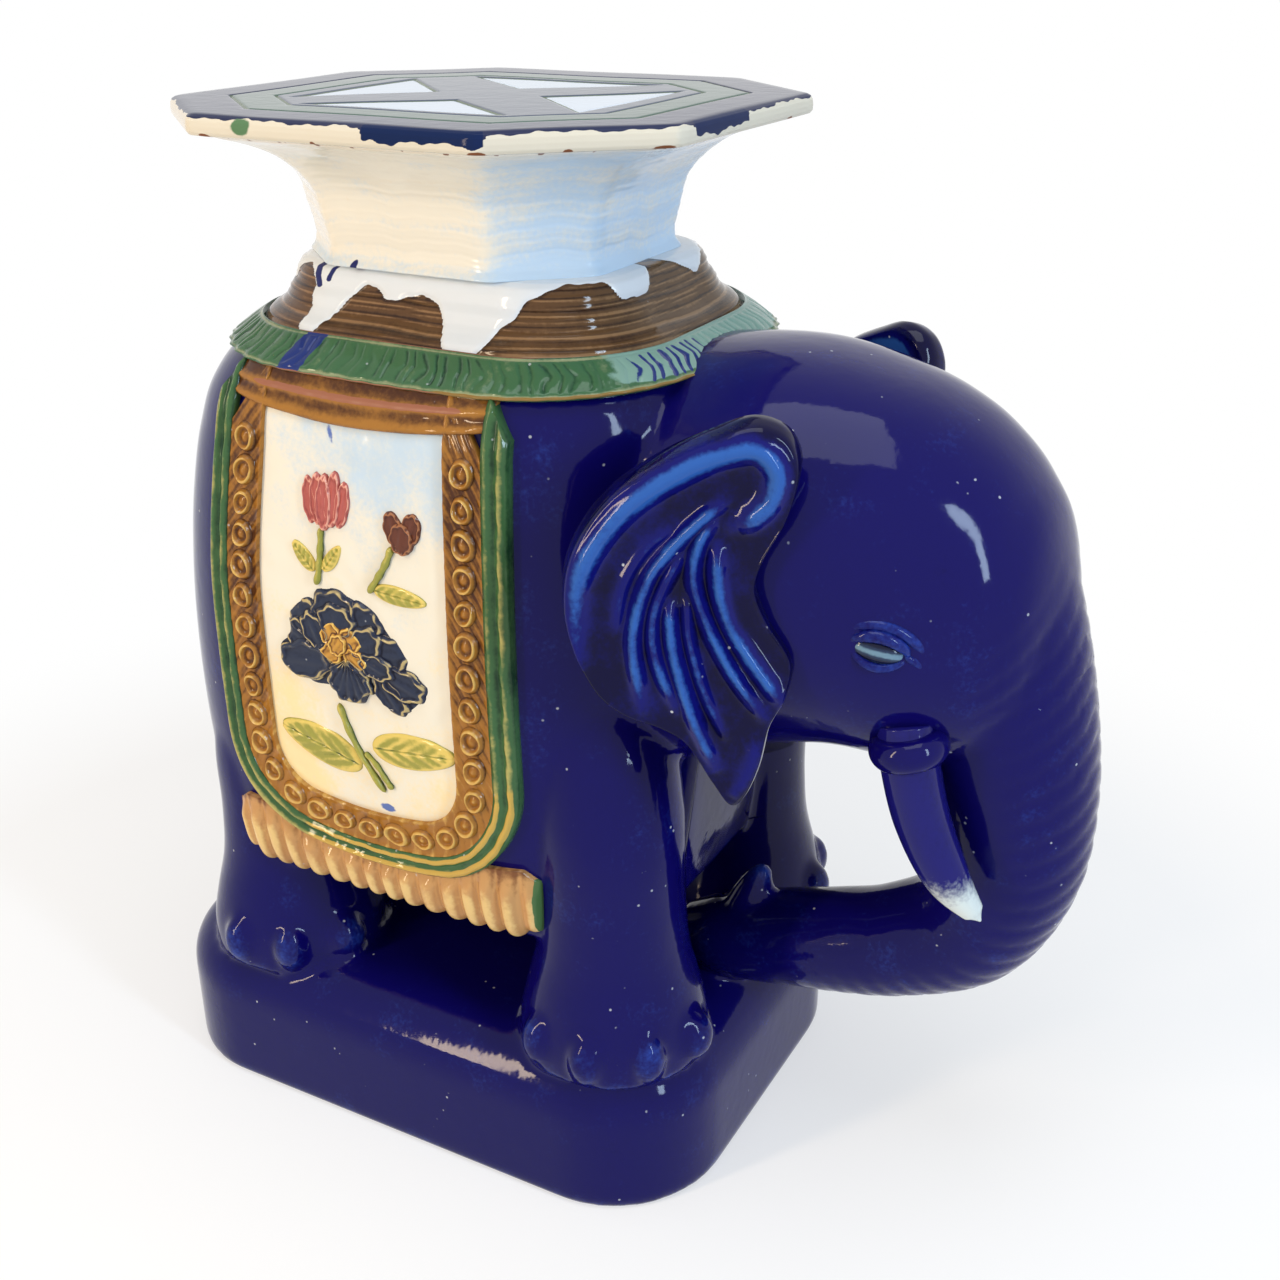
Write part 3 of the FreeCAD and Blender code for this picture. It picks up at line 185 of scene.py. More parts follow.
# %% [markdown]
# A glaze has to know where clay stands out and where one colour ends. That could be
# painted into an image, but the formulas already know it, so every mesh carries
# such masks as a value for each vertex.
# %% Objects that carry masks
def new_object(name, vertices, faces):
    """A mesh object at the origin, with its place in its mesh."""
    mesh = bpy.data.meshes.new(name)
    mesh.from_pydata(np.asarray(vertices).tolist(), [], faces)
    mesh.validate()
    mesh.polygons.foreach_set("use_smooth", np.ones(len(mesh.polygons), bool))
    mesh.update()
    item = bpy.data.objects.new(name, mesh)
    bpy.context.collection.objects.link(item)
    return item


def paint(item, name, values):
    """Keep a mask or a thickness for each vertex, for the glaze to read. The middles
    of the two end fans come last and take the first and the last value."""
    mesh = item.data
    values = np.asarray(values, float).reshape(-1)
    full = np.zeros(len(mesh.vertices))
    full[:len(values)] = values
    if len(values) < len(full):
        full[len(values):] = values[[0, -1]][:len(full) - len(values)]
    layer = mesh.attributes.new(name, "FLOAT", "POINT")
    layer.data.foreach_set("value", full)


def skin(name, points, masks, data=skin_data):
    """A closed skin over rings of points, with its masks."""
    item = new_object(name, *data(points))
    for mask, values in masks.items():
        paint(item, mask, values)
    return item


def finish_piece(item, material, slot, *nodes):
    """Give a piece its glaze, let it ride on the stool and stand for its nodes."""
    item.data.materials.clear()
    item.data.materials.append(material)
    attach(item, "root")
    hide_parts(*nodes)


def finish_pair(make, material, slot, node):
    """Make a piece for either side, to stand for its node there."""
    for hand in HANDS:
        finish_piece(make(hand), material, slot, node + "_" + hand)


# %% [markdown]
# Glaze is glass. It runs off ridges while it is molten, so there it is thin and
# shows pale, and it pools in hollows, where it is deep and dark. One node group
# does that for every glaze of the stool: it mixes a thin, a body and a deep colour
# by the thickness that each mesh carries, mottles them with noise, and adds the
# pinholes and specks that a kiln leaves. The shader stays in each material.
# %% Short names for the nodes that a glaze is built from
def math_node(tree, operation, first, second):
    """A Math node with each input linked or set."""
    node = tree.nodes.new("ShaderNodeMath")
    node.operation = operation
    for socket, value in zip(node.inputs, (first, second)):
        if isinstance(value, (int, float)):
            socket.default_value = value
        else:
            tree.links.new(value, socket)
    return node.outputs[0]


def mix_colour(tree, factor, first, second):
    """A colour mix whose factor and colours are linked or set."""
    node = tree.nodes.new("ShaderNodeMix")
    node.data_type = "RGBA"
    for socket, value in ((node.inputs["Factor"], factor), (node.inputs[6], first),
                          (node.inputs[7], second)):
        if isinstance(value, tuple):
            socket.default_value = value + (1.0,)
        elif isinstance(value, (int, float)):
            socket.default_value = value
        else:
            tree.links.new(value, socket)
    return node.outputs[2]


def noise(tree, place, scale, detail, roughness=0.55):
    """A noise value on a place."""
    node = tree.nodes.new("ShaderNodeTexNoise")
    node.inputs["Scale"].default_value = scale
    node.inputs["Detail"].default_value = detail
    node.inputs["Roughness"].default_value = roughness
    tree.links.new(place, node.inputs["Vector"])
    return node.outputs["Fac"]


def ramp(tree, value, low, high):
    """A share that goes from 0 at low to 1 at high."""
    node = tree.nodes.new("ShaderNodeMapRange")
    node.interpolation_type = "SMOOTHSTEP"
    node.inputs["From Min"].default_value = low
    node.inputs["From Max"].default_value = high
    tree.links.new(value, node.inputs["Value"])
    return node.outputs["Result"]


def attribute_value(tree, name):
    """The value of a mask that the mesh carries; 0 where the mesh has none."""
    node = tree.nodes.new("ShaderNodeAttribute")
    node.attribute_name = name
    return node.outputs["Fac"]


print("five node helpers ready")


# %% Breaking glaze, a group for all glazes
def build_breaking_glaze():
    """The group: thickness and three colours in, colour, roughness and height out."""
    tree = bpy.data.node_groups.new("breaking_glaze", "ShaderNodeTree")
    for side, kind, names in (("INPUT", "Color", ("Thin", "Body", "Deep")),
                              ("INPUT", "Float", ("Thickness", "Mottle", "Specks")),
                              ("OUTPUT", "Color", ("Color",)), ("OUTPUT", "Float", ("Roughness", "Height"))):
        for name in names:
            tree.interface.new_socket(name=name, in_out=side, socket_type="NodeSocket" + kind)
    source = tree.nodes.new("NodeGroupInput")
    target = tree.nodes.new("NodeGroupOutput")
    place = tree.nodes.new("ShaderNodeTexCoord").outputs["Object"]
    cloud = noise(tree, place, 38.0, 5.0)
    fine = noise(tree, place, 420.0, 3.0)
    ripple = noise(tree, place, 90.0, 2.0)
    wobble = math_node(tree, "MULTIPLY", math_node(tree, "SUBTRACT", cloud, 0.5), source.outputs["Mottle"])
    grain = math_node(tree, "MULTIPLY", math_node(tree, "SUBTRACT", fine, 0.5), 0.35)
    thickness = math_node(tree, "ADD", source.outputs["Thickness"], wobble)
    thickness = math_node(tree, "ADD", thickness, grain)
    thin = ramp(tree, thickness, 0.45, 0.05)
    deep = ramp(tree, thickness, 0.55, 1.0)
    colour = mix_colour(tree, thin, source.outputs["Body"], source.outputs["Thin"])
    colour = mix_colour(tree, deep, colour, source.outputs["Deep"])
    cells = tree.nodes.new("ShaderNodeTexVoronoi")
    cells.inputs["Scale"].default_value = 130.0
    tree.links.new(place, cells.inputs["Vector"])
    chance = ramp(tree, noise(tree, place, 60.0, 1.0), 0.6, 0.64)
    speck = ramp(tree, cells.outputs["Distance"], 0.12, 0.06)
    speck = math_node(tree, "MULTIPLY", speck, chance)
    speck = math_node(tree, "MULTIPLY", speck, source.outputs["Specks"])
    colour = mix_colour(tree, speck, colour, (0.55, 0.58, 0.62))
    tree.links.new(colour, target.inputs["Color"])
    rough = math_node(tree, "ADD", math_node(tree, "MULTIPLY", ripple, 0.05), 0.045)
    spotted = math_node(tree, "MULTIPLY", speck, 0.4)
    tree.links.new(math_node(tree, "ADD", rough, spotted), target.inputs["Roughness"])
    height = math_node(tree, "ADD", ripple, math_node(tree, "MULTIPLY", speck, -0.6))
    height = math_node(tree, "ADD", height, math_node(tree, "MULTIPLY", fine, 0.12))
    tree.links.new(height, target.inputs["Height"])
    return tree


breaking_glaze = build_breaking_glaze()
print("group breaking_glaze with", len(breaking_glaze.nodes), "nodes")

# %% [markdown]
# The potter has one pot for each colour, and so has this file: a function makes a
# glaze from its three colours, and each piece below asks for its own. Where a
# second colour was brushed or ran over the first, it is a layer with a mask. The
# reflection is kept weaker than that of clean glass, because the bright surround
# of a studio would otherwise lie over the dark blue like a veil.
# %% A glaze from three colours
GLAZE_RELIEF = 0.0006


def glaze(name, thin, body, deep, layers=(), mottle=0.5, specks=0.5, shine=0.22):
    """A glossy glaze. Layers are further colours, each laid where its mask is 1;
    a ragged edge comes from noise added to the mask."""
    material = bpy.data.materials.new(name)
    material.use_nodes = True
    tree = material.node_tree
    shader = tree.nodes["Principled BSDF"]
    group = tree.nodes.new("ShaderNodeGroup")
    group.node_tree = breaking_glaze
    for socket, tint in zip(group.inputs, (thin, body, deep)):
        socket.default_value = tint + (1.0,)
    group.inputs["Mottle"].default_value = mottle
    group.inputs["Specks"].default_value = specks
    tree.links.new(attribute_value(tree, "thickness"), group.inputs["Thickness"])
    colour = group.outputs["Color"]
    roughness = group.outputs["Roughness"]
    place = tree.nodes.new("ShaderNodeTexCoord").outputs["Object"]
    for mask, tint, ragged, dull in layers:
        edge = math_node(tree, "MULTIPLY", math_node(
            tree, "SUBTRACT", noise(tree, place, 150.0, 4.0), 0.5), ragged)
        share = math_node(tree, "ADD", attribute_value(tree, mask), edge)
        share = ramp(tree, share, 0.42, 0.58)
        colour = mix_colour(tree, share, colour, tint)
        if dull:
            roughness = math_node(tree, "ADD", roughness, math_node(tree, "MULTIPLY", share, dull))
    tree.links.new(colour, shader.inputs["Base Color"])
    tree.links.new(roughness, shader.inputs["Roughness"])
    bump = tree.nodes.new("ShaderNodeBump")
    bump.inputs["Strength"].default_value = 0.25
    bump.inputs["Distance"].default_value = GLAZE_RELIEF
    tree.links.new(group.outputs["Height"], bump.inputs["Height"])
    tree.links.new(bump.outputs["Normal"], shader.inputs["Normal"])
    shader.inputs["IOR"].default_value = 1.5
    shader.inputs["Specular IOR Level"].default_value = shine
    return material


cobalt = glaze("cobalt", (0.02, 0.055, 0.32), (0.0036, 0.0022, 0.088), (0.0014, 0.0008, 0.026),
               specks=0.6, shine=0.16)
print("glaze", cobalt.name, "with", len(cobalt.node_tree.nodes), "nodes")

# %% [markdown]
# The cobalt parts are luted together and the thick glaze fills every joint, so
# the real skin flows from the belly into the legs and from the brow into the
# trunk. Separate tubes would meet in hard creases. Here each form is a surface of
# its own, all of them are joined and remeshed into one skin, and the skin is
# smoothed, which rounds the joints as the glaze does.
# %% Sizes of the cobalt forms, from the frame
plinth_low, plinth_high = corners("plinth")
hull_low, hull_high = corners("body_shell_right")
FLOOR = plinth_low[2]
PLINTH_TOP = plinth_high[2]
PLINTH_CORNER = 0.066
PLINTH_SHOULDER = 0.032
PLINTH_WALL = 0.01
BELLY = hull_low[2]
BACK = hull_high[2]
BODY_CORNER = 0.088
LEG_PLACES = {"leg_front": 0.108, "leg_rear": -0.109}
LEG_SPREAD = 0.079
LEG_RADIUS = 0.039
LEG_HEIGHT = 0.245
FOOT_RADIUS = 0.051
HEAD_START = 0.1
HEAD_LENGTH = 0.214
HEAD_HALF_WIDTH = 0.097
HEAD_HALF_HEIGHT = 0.117
HEAD_CENTRE = 0.339
HEAD_ROUNDNESS = 0.88
VOXEL = 0.0026
print("belly at", round(BELLY, 3), "back at", round(BACK, 3), "plinth top at", round(PLINTH_TOP, 3))

# %% Tables of the cobalt forms
# The barrel of the body, from the belly up: height, then reach to the rear and
# to the front, half width and corner radius, as shares of the largest ones
BARREL = np.array((
    (0.0, 0.93, 0.92, 0.915, 0.8), (0.05, 0.95, 0.935, 0.945, 0.88),
    (0.16, 0.985, 0.955, 0.985, 0.98), (0.36, 1.0, 0.985, 1.0, 1.0),
    (0.57, 0.975, 1.0, 1.0, 0.99), (0.73, 0.93, 1.0, 0.985, 0.97),
    (0.84, 0.875, 0.99, 0.97, 0.945), (0.93, 0.8, 0.97, 0.945, 0.905),
    (0.98, 0.73, 0.93, 0.9, 0.87), (1.0, 0.69, 0.9, 0.87, 0.86),
))

# The head, along its length: share of the length, half width, half height and
# how far its middle is above the head's own middle, as shares of its sizes
HEAD = np.array((
    (-0.1, 0.9, 0.9, -0.04), (0.0, 0.95, 0.94, -0.01),
    (0.19, 1.0, 0.93, 0.06), (0.37, 1.0, 0.86, 0.14),
    (0.54, 0.94, 0.8, 0.145), (0.68, 0.845, 0.765, 0.1),
    (0.79, 0.725, 0.7, 0.055), (0.885, 0.59, 0.59, 0.0),
    (0.955, 0.4, 0.42, -0.035), (0.995, 0.17, 0.2, -0.06),
))

# The trunk: its middle line, forward and up, and its radius, from inside the brow
# to its resting end
TRUNK = np.array((
    (0.205, 0.385, 0.06), (0.236, 0.372, 0.06), (0.262, 0.339, 0.0535), (0.281, 0.289, 0.048),
    (0.2925, 0.241, 0.0425), (0.2935, 0.2, 0.0375), (0.277, 0.161, 0.0335), (0.241, 0.1375, 0.0305),
    (0.209, 0.1265, 0.029), (0.182, 0.1195, 0.0275), (0.16, 0.113, 0.0262), (0.135, 0.107, 0.0235),
    (0.113, 0.104, 0.015),
))

# A leg's swell, from its foot up: share of its height, and of the foot's swell
LEG_SWELL = np.array((
    (0.0, 1.0), (0.07, 1.0), (0.14, 0.7), (0.24, 0.2), (0.36, 0.0), (0.6, 0.05),
    (0.78, -0.2), (1.0, -2.2),
))

FINGER = ((0.15, 0, 0.112), (0.152, 0, 0.133), (0.157, 0, 0.15), (0.161, 0, 0.159))
TAIL = ((-0.15, 0, 0.38), (-0.1695, 0, 0.355), (-0.1735, 0, 0.31), (-0.1735, 0, 0.275),
        (-0.17, 0, 0.25), (-0.166, 0, 0.228))
print("rows: barrel", len(BARREL), "head", len(HEAD), "trunk", len(TRUNK))


# %% Barrel and head as surfaces
def plan(angles, rear, front, half_width, corner):
    """A rectangle with round corners, by direction from its middle: the ray meets a
    long side, an end, or else the corner's circle."""
    cosine, sine = np.cos(angles), np.sin(angles)
    c, s = np.maximum(np.abs(cosine), 1e-9), np.maximum(np.abs(sine), 1e-9)
    half_length = (rear + front) / 2
    corner_x, corner_y = half_length - corner, half_width - corner
    middle = c * corner_x + s * corner_y
    reach = middle + np.sqrt(np.maximum(middle ** 2 - corner_x ** 2 - corner_y ** 2 + corner ** 2, 0))
    reach = np.where(c * half_width / s <= corner_x, half_width / s, reach)
    reach = np.where(s * half_length / c <= corner_y, half_length / c, reach)
    return (front - rear) / 2 + reach * cosine, reach * sine


def barrel(rings=60, around=160):
    """The body: the plan at each height, its sizes read off smooth curves."""
    share = np.linspace(0, 1, rings)
    rear, front, width, corner = smooth(BARREL[:, 0], BARREL[:, 1:], share).T[:, :, None]
    x, y = plan(circle(around)[None, :], -hull_low[0] * rear, hull_high[0] * front,
                -hull_low[1] * width, BODY_CORNER * corner)
    z = BELLY + share[:, None] * (BACK - BELLY) + 0 * x
    return np.stack([x, y, z], axis=-1)


def head_rings(rings=70, around=120):
    """The head: across it an oval a little squarer than an ellipse, whose half
    width, half height and middle change along it."""
    share = np.linspace(HEAD[0, 0], HEAD[-1, 0], rings)
    width, height, middle = smooth(HEAD[:, 0], HEAD[:, 1:], share).T[:, :, None]
    angles = circle(around)[None, :]
    across_share = np.sign(np.cos(angles)) * np.abs(np.cos(angles)) ** HEAD_ROUNDNESS
    height_share = np.sign(np.sin(angles)) * np.abs(np.sin(angles)) ** HEAD_ROUNDNESS
    y = HEAD_HALF_WIDTH * width * across_share
    z = HEAD_CENTRE + HEAD_HALF_HEIGHT * (height * height_share + middle)
    x = HEAD_START + HEAD_LENGTH * share[:, None] + 0 * y
    return np.stack([x, y, z], axis=-1)


cobalt_forms = [barrel(), head_rings()]
print("points in the barrel and the head:", [form.shape[:2] for form in cobalt_forms])


# %% Legs and toenails
def leg_rings(place, side, rings=40, around=64):
    """A leg: a circle at each height, wide at the foot and straight above it, which
    then shrinks and leans inwards, so that it melts into the shoulder."""
    share = np.linspace(0, 1, rings)
    swell = smooth(LEG_SWELL[:, 0], LEG_SWELL[:, 1], share)
    radius = LEG_RADIUS + (FOOT_RADIUS - LEG_RADIUS) * swell
    angles = circle(around)[None, :]
    inward = 1 - 0.16 * ease(share[:, None], 0.45, 1.0)
    x = place * inward + radius[:, None] * np.cos(angles)
    y = side * LEG_SPREAD * inward + radius[:, None] * np.sin(angles)
    z = PLINTH_TOP - 0.006 + share[:, None] * LEG_HEIGHT + 0 * x
    return np.stack([x, y, z], axis=-1)


def bead(middle, size, around=32, rings=18):
    """A rounded lump: an ellipsoid with its poles up and down."""
    lift = np.linspace(0.04, math.pi - 0.04, rings)[:, None]
    angles = circle(around)[None, :]
    x = middle[0] + size[0] * np.sin(lift) * np.cos(angles)
    y = middle[1] + size[1] * np.sin(lift) * np.sin(angles)
    z = middle[2] + size[2] * np.cos(lift) + 0 * angles
    return np.stack([x, y, z], axis=-1)


def toenails(place, side, degrees):
    """Domed nails round the front of a foot, each half sunk in it."""
    nails = []
    reach = FOOT_RADIUS * 0.93
    for count, angle in enumerate(np.radians(degrees)):
        size = 0.0125 if count == 0 else 0.0105
        middle = (place + reach * math.cos(angle), side * (LEG_SPREAD + reach * math.sin(angle)),
                  PLINTH_TOP + 0.011)
        nails.append(bead(middle, (size, size, 0.015)))
    return nails


FRONT_NAILS = (2.0, 40.0, 78.0, 116.0)
REAR_NAILS = (20.0, 58.0, 96.0)
leg_forms = []
for name, place in LEG_PLACES.items():
    for side in (-1, 1):
        leg_forms.append(leg_rings(place, side))
        leg_forms += toenails(place, side, FRONT_NAILS if place > 0 else REAR_NAILS)
print("legs and nails:", len(leg_forms))


# %% Plinth, trunk and tail
def rolled(middle, radius, across, around):
    """A round profile carried along a line of places: each ring stands square to the
    line's run, and starts square to the run and to a direction across it."""
    run = np.gradient(middle, axis=0)
    run /= np.linalg.norm(run, axis=1, keepdims=True)
    side = np.cross(run, across)
    side /= np.linalg.norm(side, axis=1, keepdims=True)
    other = np.cross(side, run)
    angles = circle(around)[:, None]
    ring = side[:, None] * np.cos(angles) + other[:, None] * np.sin(angles)
    return middle[:, None] + ring * radius[:, None, None]


def tube(path, radii, rings, around):
    """A rolled tube whose line and radius are read off smooth curves."""
    places = np.linspace(0, 1, len(path))
    at = np.linspace(0, 1, rings)
    return rolled(smooth(places, path, at), smooth(places, radii, at), (0.0, 1.0, 0.0), around)


def plinth_rings(around=200):
    """The plinth: its plan carried round a profile that goes out over the roof,
    down the side and back up inside, because it is hollow from below."""
    bend = np.linspace(0, math.pi / 2, 12)
    height = PLINTH_TOP - FLOOR
    draw = [(0.9, height)]
    draw += [(PLINTH_SHOULDER * (1 - math.sin(a)), height - PLINTH_SHOULDER * (1 - math.cos(a)))
             for a in bend]
    draw += [(0.0, height * 0.45), (0.0, 0.004), (0.002, 0.0)]
    draw += [(PLINTH_WALL, 0.0), (PLINTH_WALL, height * 0.5),
             (PLINTH_WALL + 0.006, height - PLINTH_WALL), (0.9, height - PLINTH_WALL)]
    rings = []
    for inset, lift in draw:
        inner = min(inset, 0.06)
        x, y = plan(circle(around), -plinth_low[0] - inner, plinth_high[0] - inner,
                    -plinth_low[1] - inner, max(PLINTH_CORNER - inner, 0.02))
        share = 1.0 if inset < 0.5 else 0.1
        rings.append(np.stack([x * share, y * share, FLOOR + lift + 0 * x], axis=-1))
    return np.array(rings)


cobalt_forms.append(plinth_rings())
cobalt_forms.append(tube(np.insert(TRUNK[:, :2], 1, 0.0, axis=1), TRUNK[:, 2], 150, 64))
cobalt_forms += leg_forms
cobalt_forms.append(tube(FINGER, (0.019, 0.0135, 0.0085, 0.004), 24, 32))
cobalt_forms.append(tube(TAIL, (0.008, 0.0085, 0.007, 0.0085, 0.0115, 0.004), 60, 32))
print("cobalt forms:", len(cobalt_forms))

# %% [markdown]
# The forms now pass through one another. A boolean union would leave a hard crease
# at each meeting and often fails where surfaces nearly touch. A voxel remesh walks
# over the outside of everything and lays one even net of quads on it, and the
# smoothing after it turns the creases into fillets of clay.
# %% One skin over all cobalt forms
def joined_skin(forms):
    """One mesh object that holds every form's closed skin."""
    vertices = []
    faces = []
    count = 0
    for form in forms:
        points, polygons = skin_data(form)
        vertices.append(points)
        faces += [[index + count for index in polygon] for polygon in polygons]
        count += len(points)
    return new_object("cobalt_forms", np.concatenate(vertices), faces)


def remeshed(item, voxel, rounds):
    """The points and quads of an object's voxel skin, smoothed some rounds."""
    remesh = item.modifiers.new("remesh", "REMESH")
    remesh.mode = "VOXEL"
    remesh.voxel_size = voxel
    soften = item.modifiers.new("soften", "SMOOTH")
    soften.factor = 0.5
    soften.iterations = rounds
    mesh = item.evaluated_get(bpy.context.evaluated_depsgraph_get()).to_mesh()
    points = np.empty(len(mesh.vertices) * 3)
    mesh.vertices.foreach_get("co", points)
    corners_of = np.empty(len(mesh.loops), int)
    mesh.loops.foreach_get("vertex_index", corners_of)
    data = item.data
    bpy.data.objects.remove(item)
    bpy.data.meshes.remove(data)
    return points.reshape(-1, 3), corners_of.reshape(-1, 4)


skin_points, skin_quads = remeshed(joined_skin(cobalt_forms), VOXEL, 7)
print("cobalt skin:", len(skin_quads), "quads, box", skin_points.min(axis=0), skin_points.max(axis=0))


# %% [markdown]
# A trunk is wrinkled across its outer side. The potter rolls a ridged stick over the
# soft clay; here each point of the skin is moved a little along its own normal, by
# its distance along the trunk's middle line. A bump map would do from afar, but the
# wrinkles also show on the outline, and the glaze has to pool in them.
# %% Creases across the trunk
def vertex_normals(points, quads):
    """Mean direction of the faces round each vertex: each quad's diagonals' cross
    product, summed on its corners."""
    a, b, c, d = (points[quads[:, k]] for k in range(4))
    face = np.cross(c - a, d - b)
    total = np.zeros_like(points)
    for k in range(4):
        np.add.at(total, quads[:, k], face)
    return total / np.maximum(np.linalg.norm(total, axis=1, keepdims=True), 1e-12)


def creased(points, normals, pitch=0.0118, depth=0.0006):
    """Points moved in along their normals by a bell that comes back at equal steps
    along the trunk's middle line, on the trunk's outer side only."""
    line = smooth(np.linspace(0, 1, len(TRUNK)), TRUNK, np.linspace(0, 1, 240))
    run = np.append(0.0, np.cumsum(np.linalg.norm(np.diff(line[:, :2], axis=0), axis=1)))
    ahead = np.gradient(line[:, :2], axis=0)
    ahead /= np.linalg.norm(ahead, axis=1, keepdims=True)
    near = np.flatnonzero((points[:, 0] > 0.17) & (np.abs(points[:, 1]) < 0.062) & (points[:, 2] < 0.38))
    place = points[near]
    gap = place[:, None, [0, 2]] - line[None, :, :2]
    nearest = (gap ** 2).sum(axis=-1).argmin(axis=1)
    gap = gap[np.arange(len(near)), nearest]
    out = (gap[:, 1] * ahead[nearest, 0] - gap[:, 0] * ahead[nearest, 1]) / line[nearest, 2]
    phase = (run[nearest] - 0.45 * np.abs(place[:, 1])) / pitch
    dip = bell(phase % 1 - 0.5, 0.17)
    share = ease(out, 0.0, 0.45) * ease(run[nearest], 0.06, 0.11) * ease(-run[nearest], -0.37, -0.33)
    moved = points.copy()
    moved[near] -= normals[near] * (depth * dip * share)[:, None]
    return moved


smooth_points = skin_points
skin_points = creased(smooth_points, vertex_normals(smooth_points, skin_quads))
print("deepest crease:", round(float(np.abs(skin_points - smooth_points).max()), 5), "m")

# %% [markdown]
# On the fired stool each ridge is paler than the hollow beside it. Comparing every
# vertex with the mean of its neighbours tells ridge from hollow on any mesh, so the
# same few lines serve toes, brow and plinth alike, without painting them by hand.
# %% Where the cobalt glaze is thin
def quad_edges(quads):
    """The edges of quads, each in the direction in which its quad goes round."""
    return np.concatenate([quads[:, [0, 1]], quads[:, [1, 2]], quads[:, [2, 3]], quads[:, [3, 0]]])


def neighbour_mean(values, quads, rounds):
    """Values averaged with their neighbours' along the edges, some rounds."""
    edges = quad_edges(quads)
    count = np.bincount(edges.reshape(-1), minlength=len(values)).astype(float)
    for _ in range(rounds):
        total = np.bincount(edges[:, 0], values[edges[:, 1]], len(values))
        total += np.bincount(edges[:, 1], values[edges[:, 0]], len(values))
        values = (values + total / np.maximum(count, 1)) / 2
    return values


def ridge_thickness(points, quads, reach, rounds=3):
    """Glaze thickness: a vertex that stands out from its neighbours' mean has
    thin glaze, below one half, and one in a hollow has deep glaze, above it."""
    normals = vertex_normals(points, quads)
    mean = np.stack([neighbour_mean(points[:, k], quads, 4) for k in range(3)], axis=1)
    stand = np.einsum("ij,ij->i", points - mean, normals)
    stand = neighbour_mean(stand, quads, rounds)
    return np.clip(0.5 - stand / reach, 0.0, 1.0)


skin_thickness = ridge_thickness(skin_points, skin_quads, 0.0022)
print("thickness from", skin_thickness.min().round(2), "to", skin_thickness.max().round(2))

# %% [markdown]
# The potter made plinth, legs, barrel, head and trunk apart and joined them with
# slip, so they stay separate objects here too. The skin is cut where those seams
# run, and each cut is closed by a fan. The rims are marked sharp, so the fans don't
# bend the shading and the glaze looks unbroken from piece to piece.
# %% The skin cut into its pieces along the luting seams
def seam_label(points):
    """Which piece a place belongs to: plinth below its roof, trunk below a plane
    across its root, legs below the belly, head in front of the barrel, else body."""
    x, y, z = points.T
    label = np.full(len(points), "body_skin", dtype="U24")
    label[(x > 0.128) & (z > 0.2)] = "head_skin"
    low = z < BELLY + 0.006
    for name, place in LEG_PLACES.items():
        for side, hand in ((-1, "right"), (1, "left")):
            near = np.hypot(x - place, y - side * LEG_SPREAD) < FOOT_RADIUS + 0.018
            label[low & near] = name + "_skin_" + hand
    trunk = ((x - 0.283) * 0.6 - (z - 0.289) * 0.8 > 0) & (x > 0.095) & (np.abs(y) < 0.0405) & (z < 0.33)
    resting = (x < 0.2) & ((np.abs(y) > 0.0275) | (z < PLINTH_TOP + 0.002))
    label[trunk & ~resting] = "trunk_skin"
    label[(z < PLINTH_TOP + 0.0035) & (label != "trunk_skin")] = "plinth_skin"
    return label


def split_skin(points, quads, thickness):
    """Closed pieces of the skin: each piece takes its quads, and every open rim is
    closed by a fan from its middle. Rim edges are sharp, so that the shading goes
    on over the seam."""
    labels = seam_label(points[quads].mean(axis=1))
    pieces = {}
    for label in np.unique(labels):
        own = quads[labels == label]
        used, index = np.unique(own, return_inverse=True)
        own = index.reshape(own.shape)
        vertices = points[used]
        edges = quad_edges(own)
        key = edges[:, 0] * len(used) + edges[:, 1]
        twin = edges[:, 1] * len(used) + edges[:, 0]
        rim = edges[~np.isin(key, twin)]
        after = {}
        for start, end in rim.tolist():
            after.setdefault(start, []).append(end)
        faces = own.tolist()
        added = []
        while after:
            start = next(iter(after))
            loop = [start]
            while True:
                ends = after[loop[-1]]
                following = ends.pop()
                if not ends:
                    del after[loop[-1]]
                if following == start:
                    break
                loop.append(following)
            middle = len(used) + len(added)
            added.append(vertices[loop].mean(axis=0))
            faces += [[end, begin, middle] for begin, end in zip(loop, loop[1:] + loop[:1])]
        if added:
            vertices = np.concatenate([vertices, added])
        item = new_object(str(label), vertices, faces)
        sharp = {tuple(sorted(pair)) for pair in rim.tolist()}
        pairs = np.empty(len(item.data.edges) * 2, int)
        item.data.edges.foreach_get("vertices", pairs)
        flags = [tuple(sorted(pair)) in sharp for pair in pairs.reshape(-1, 2).tolist()]
        layer = item.data.attributes.new("sharp_edge", "BOOLEAN", "EDGE")
        layer.data.foreach_set("value", flags)
        full = np.full(len(item.data.vertices), 0.5)
        full[:len(used)] = thickness[used]
        paint(item, "thickness", full)
        pieces[str(label)] = item
    return pieces


cobalt_pieces = split_skin(skin_points, skin_quads, skin_thickness)
SKIN_NODES = {
    "plinth_skin": ("plinth",),
    "body_skin": ("body_shell_right", "body_shell_left", "tail"),
    "head_skin": ("head_shell_right", "head_shell_left"),
    "trunk_skin": ("trunk_upper", "trunk_lower", "trunk_tip"),
    "leg_front_skin_right": ("leg_front_right", "toenails_front_right"),
    "leg_front_skin_left": ("leg_front_left", "toenails_front_left"),
    "leg_rear_skin_right": ("leg_rear_right", "toenails_rear_right"),
    "leg_rear_skin_left": ("leg_rear_left", "toenails_rear_left"),
}
for name, item in cobalt_pieces.items():
    finish_piece(item, cobalt, "cobalt_glaze", *SKIN_NODES[name])
    print(name, len(item.data.polygons), "faces")

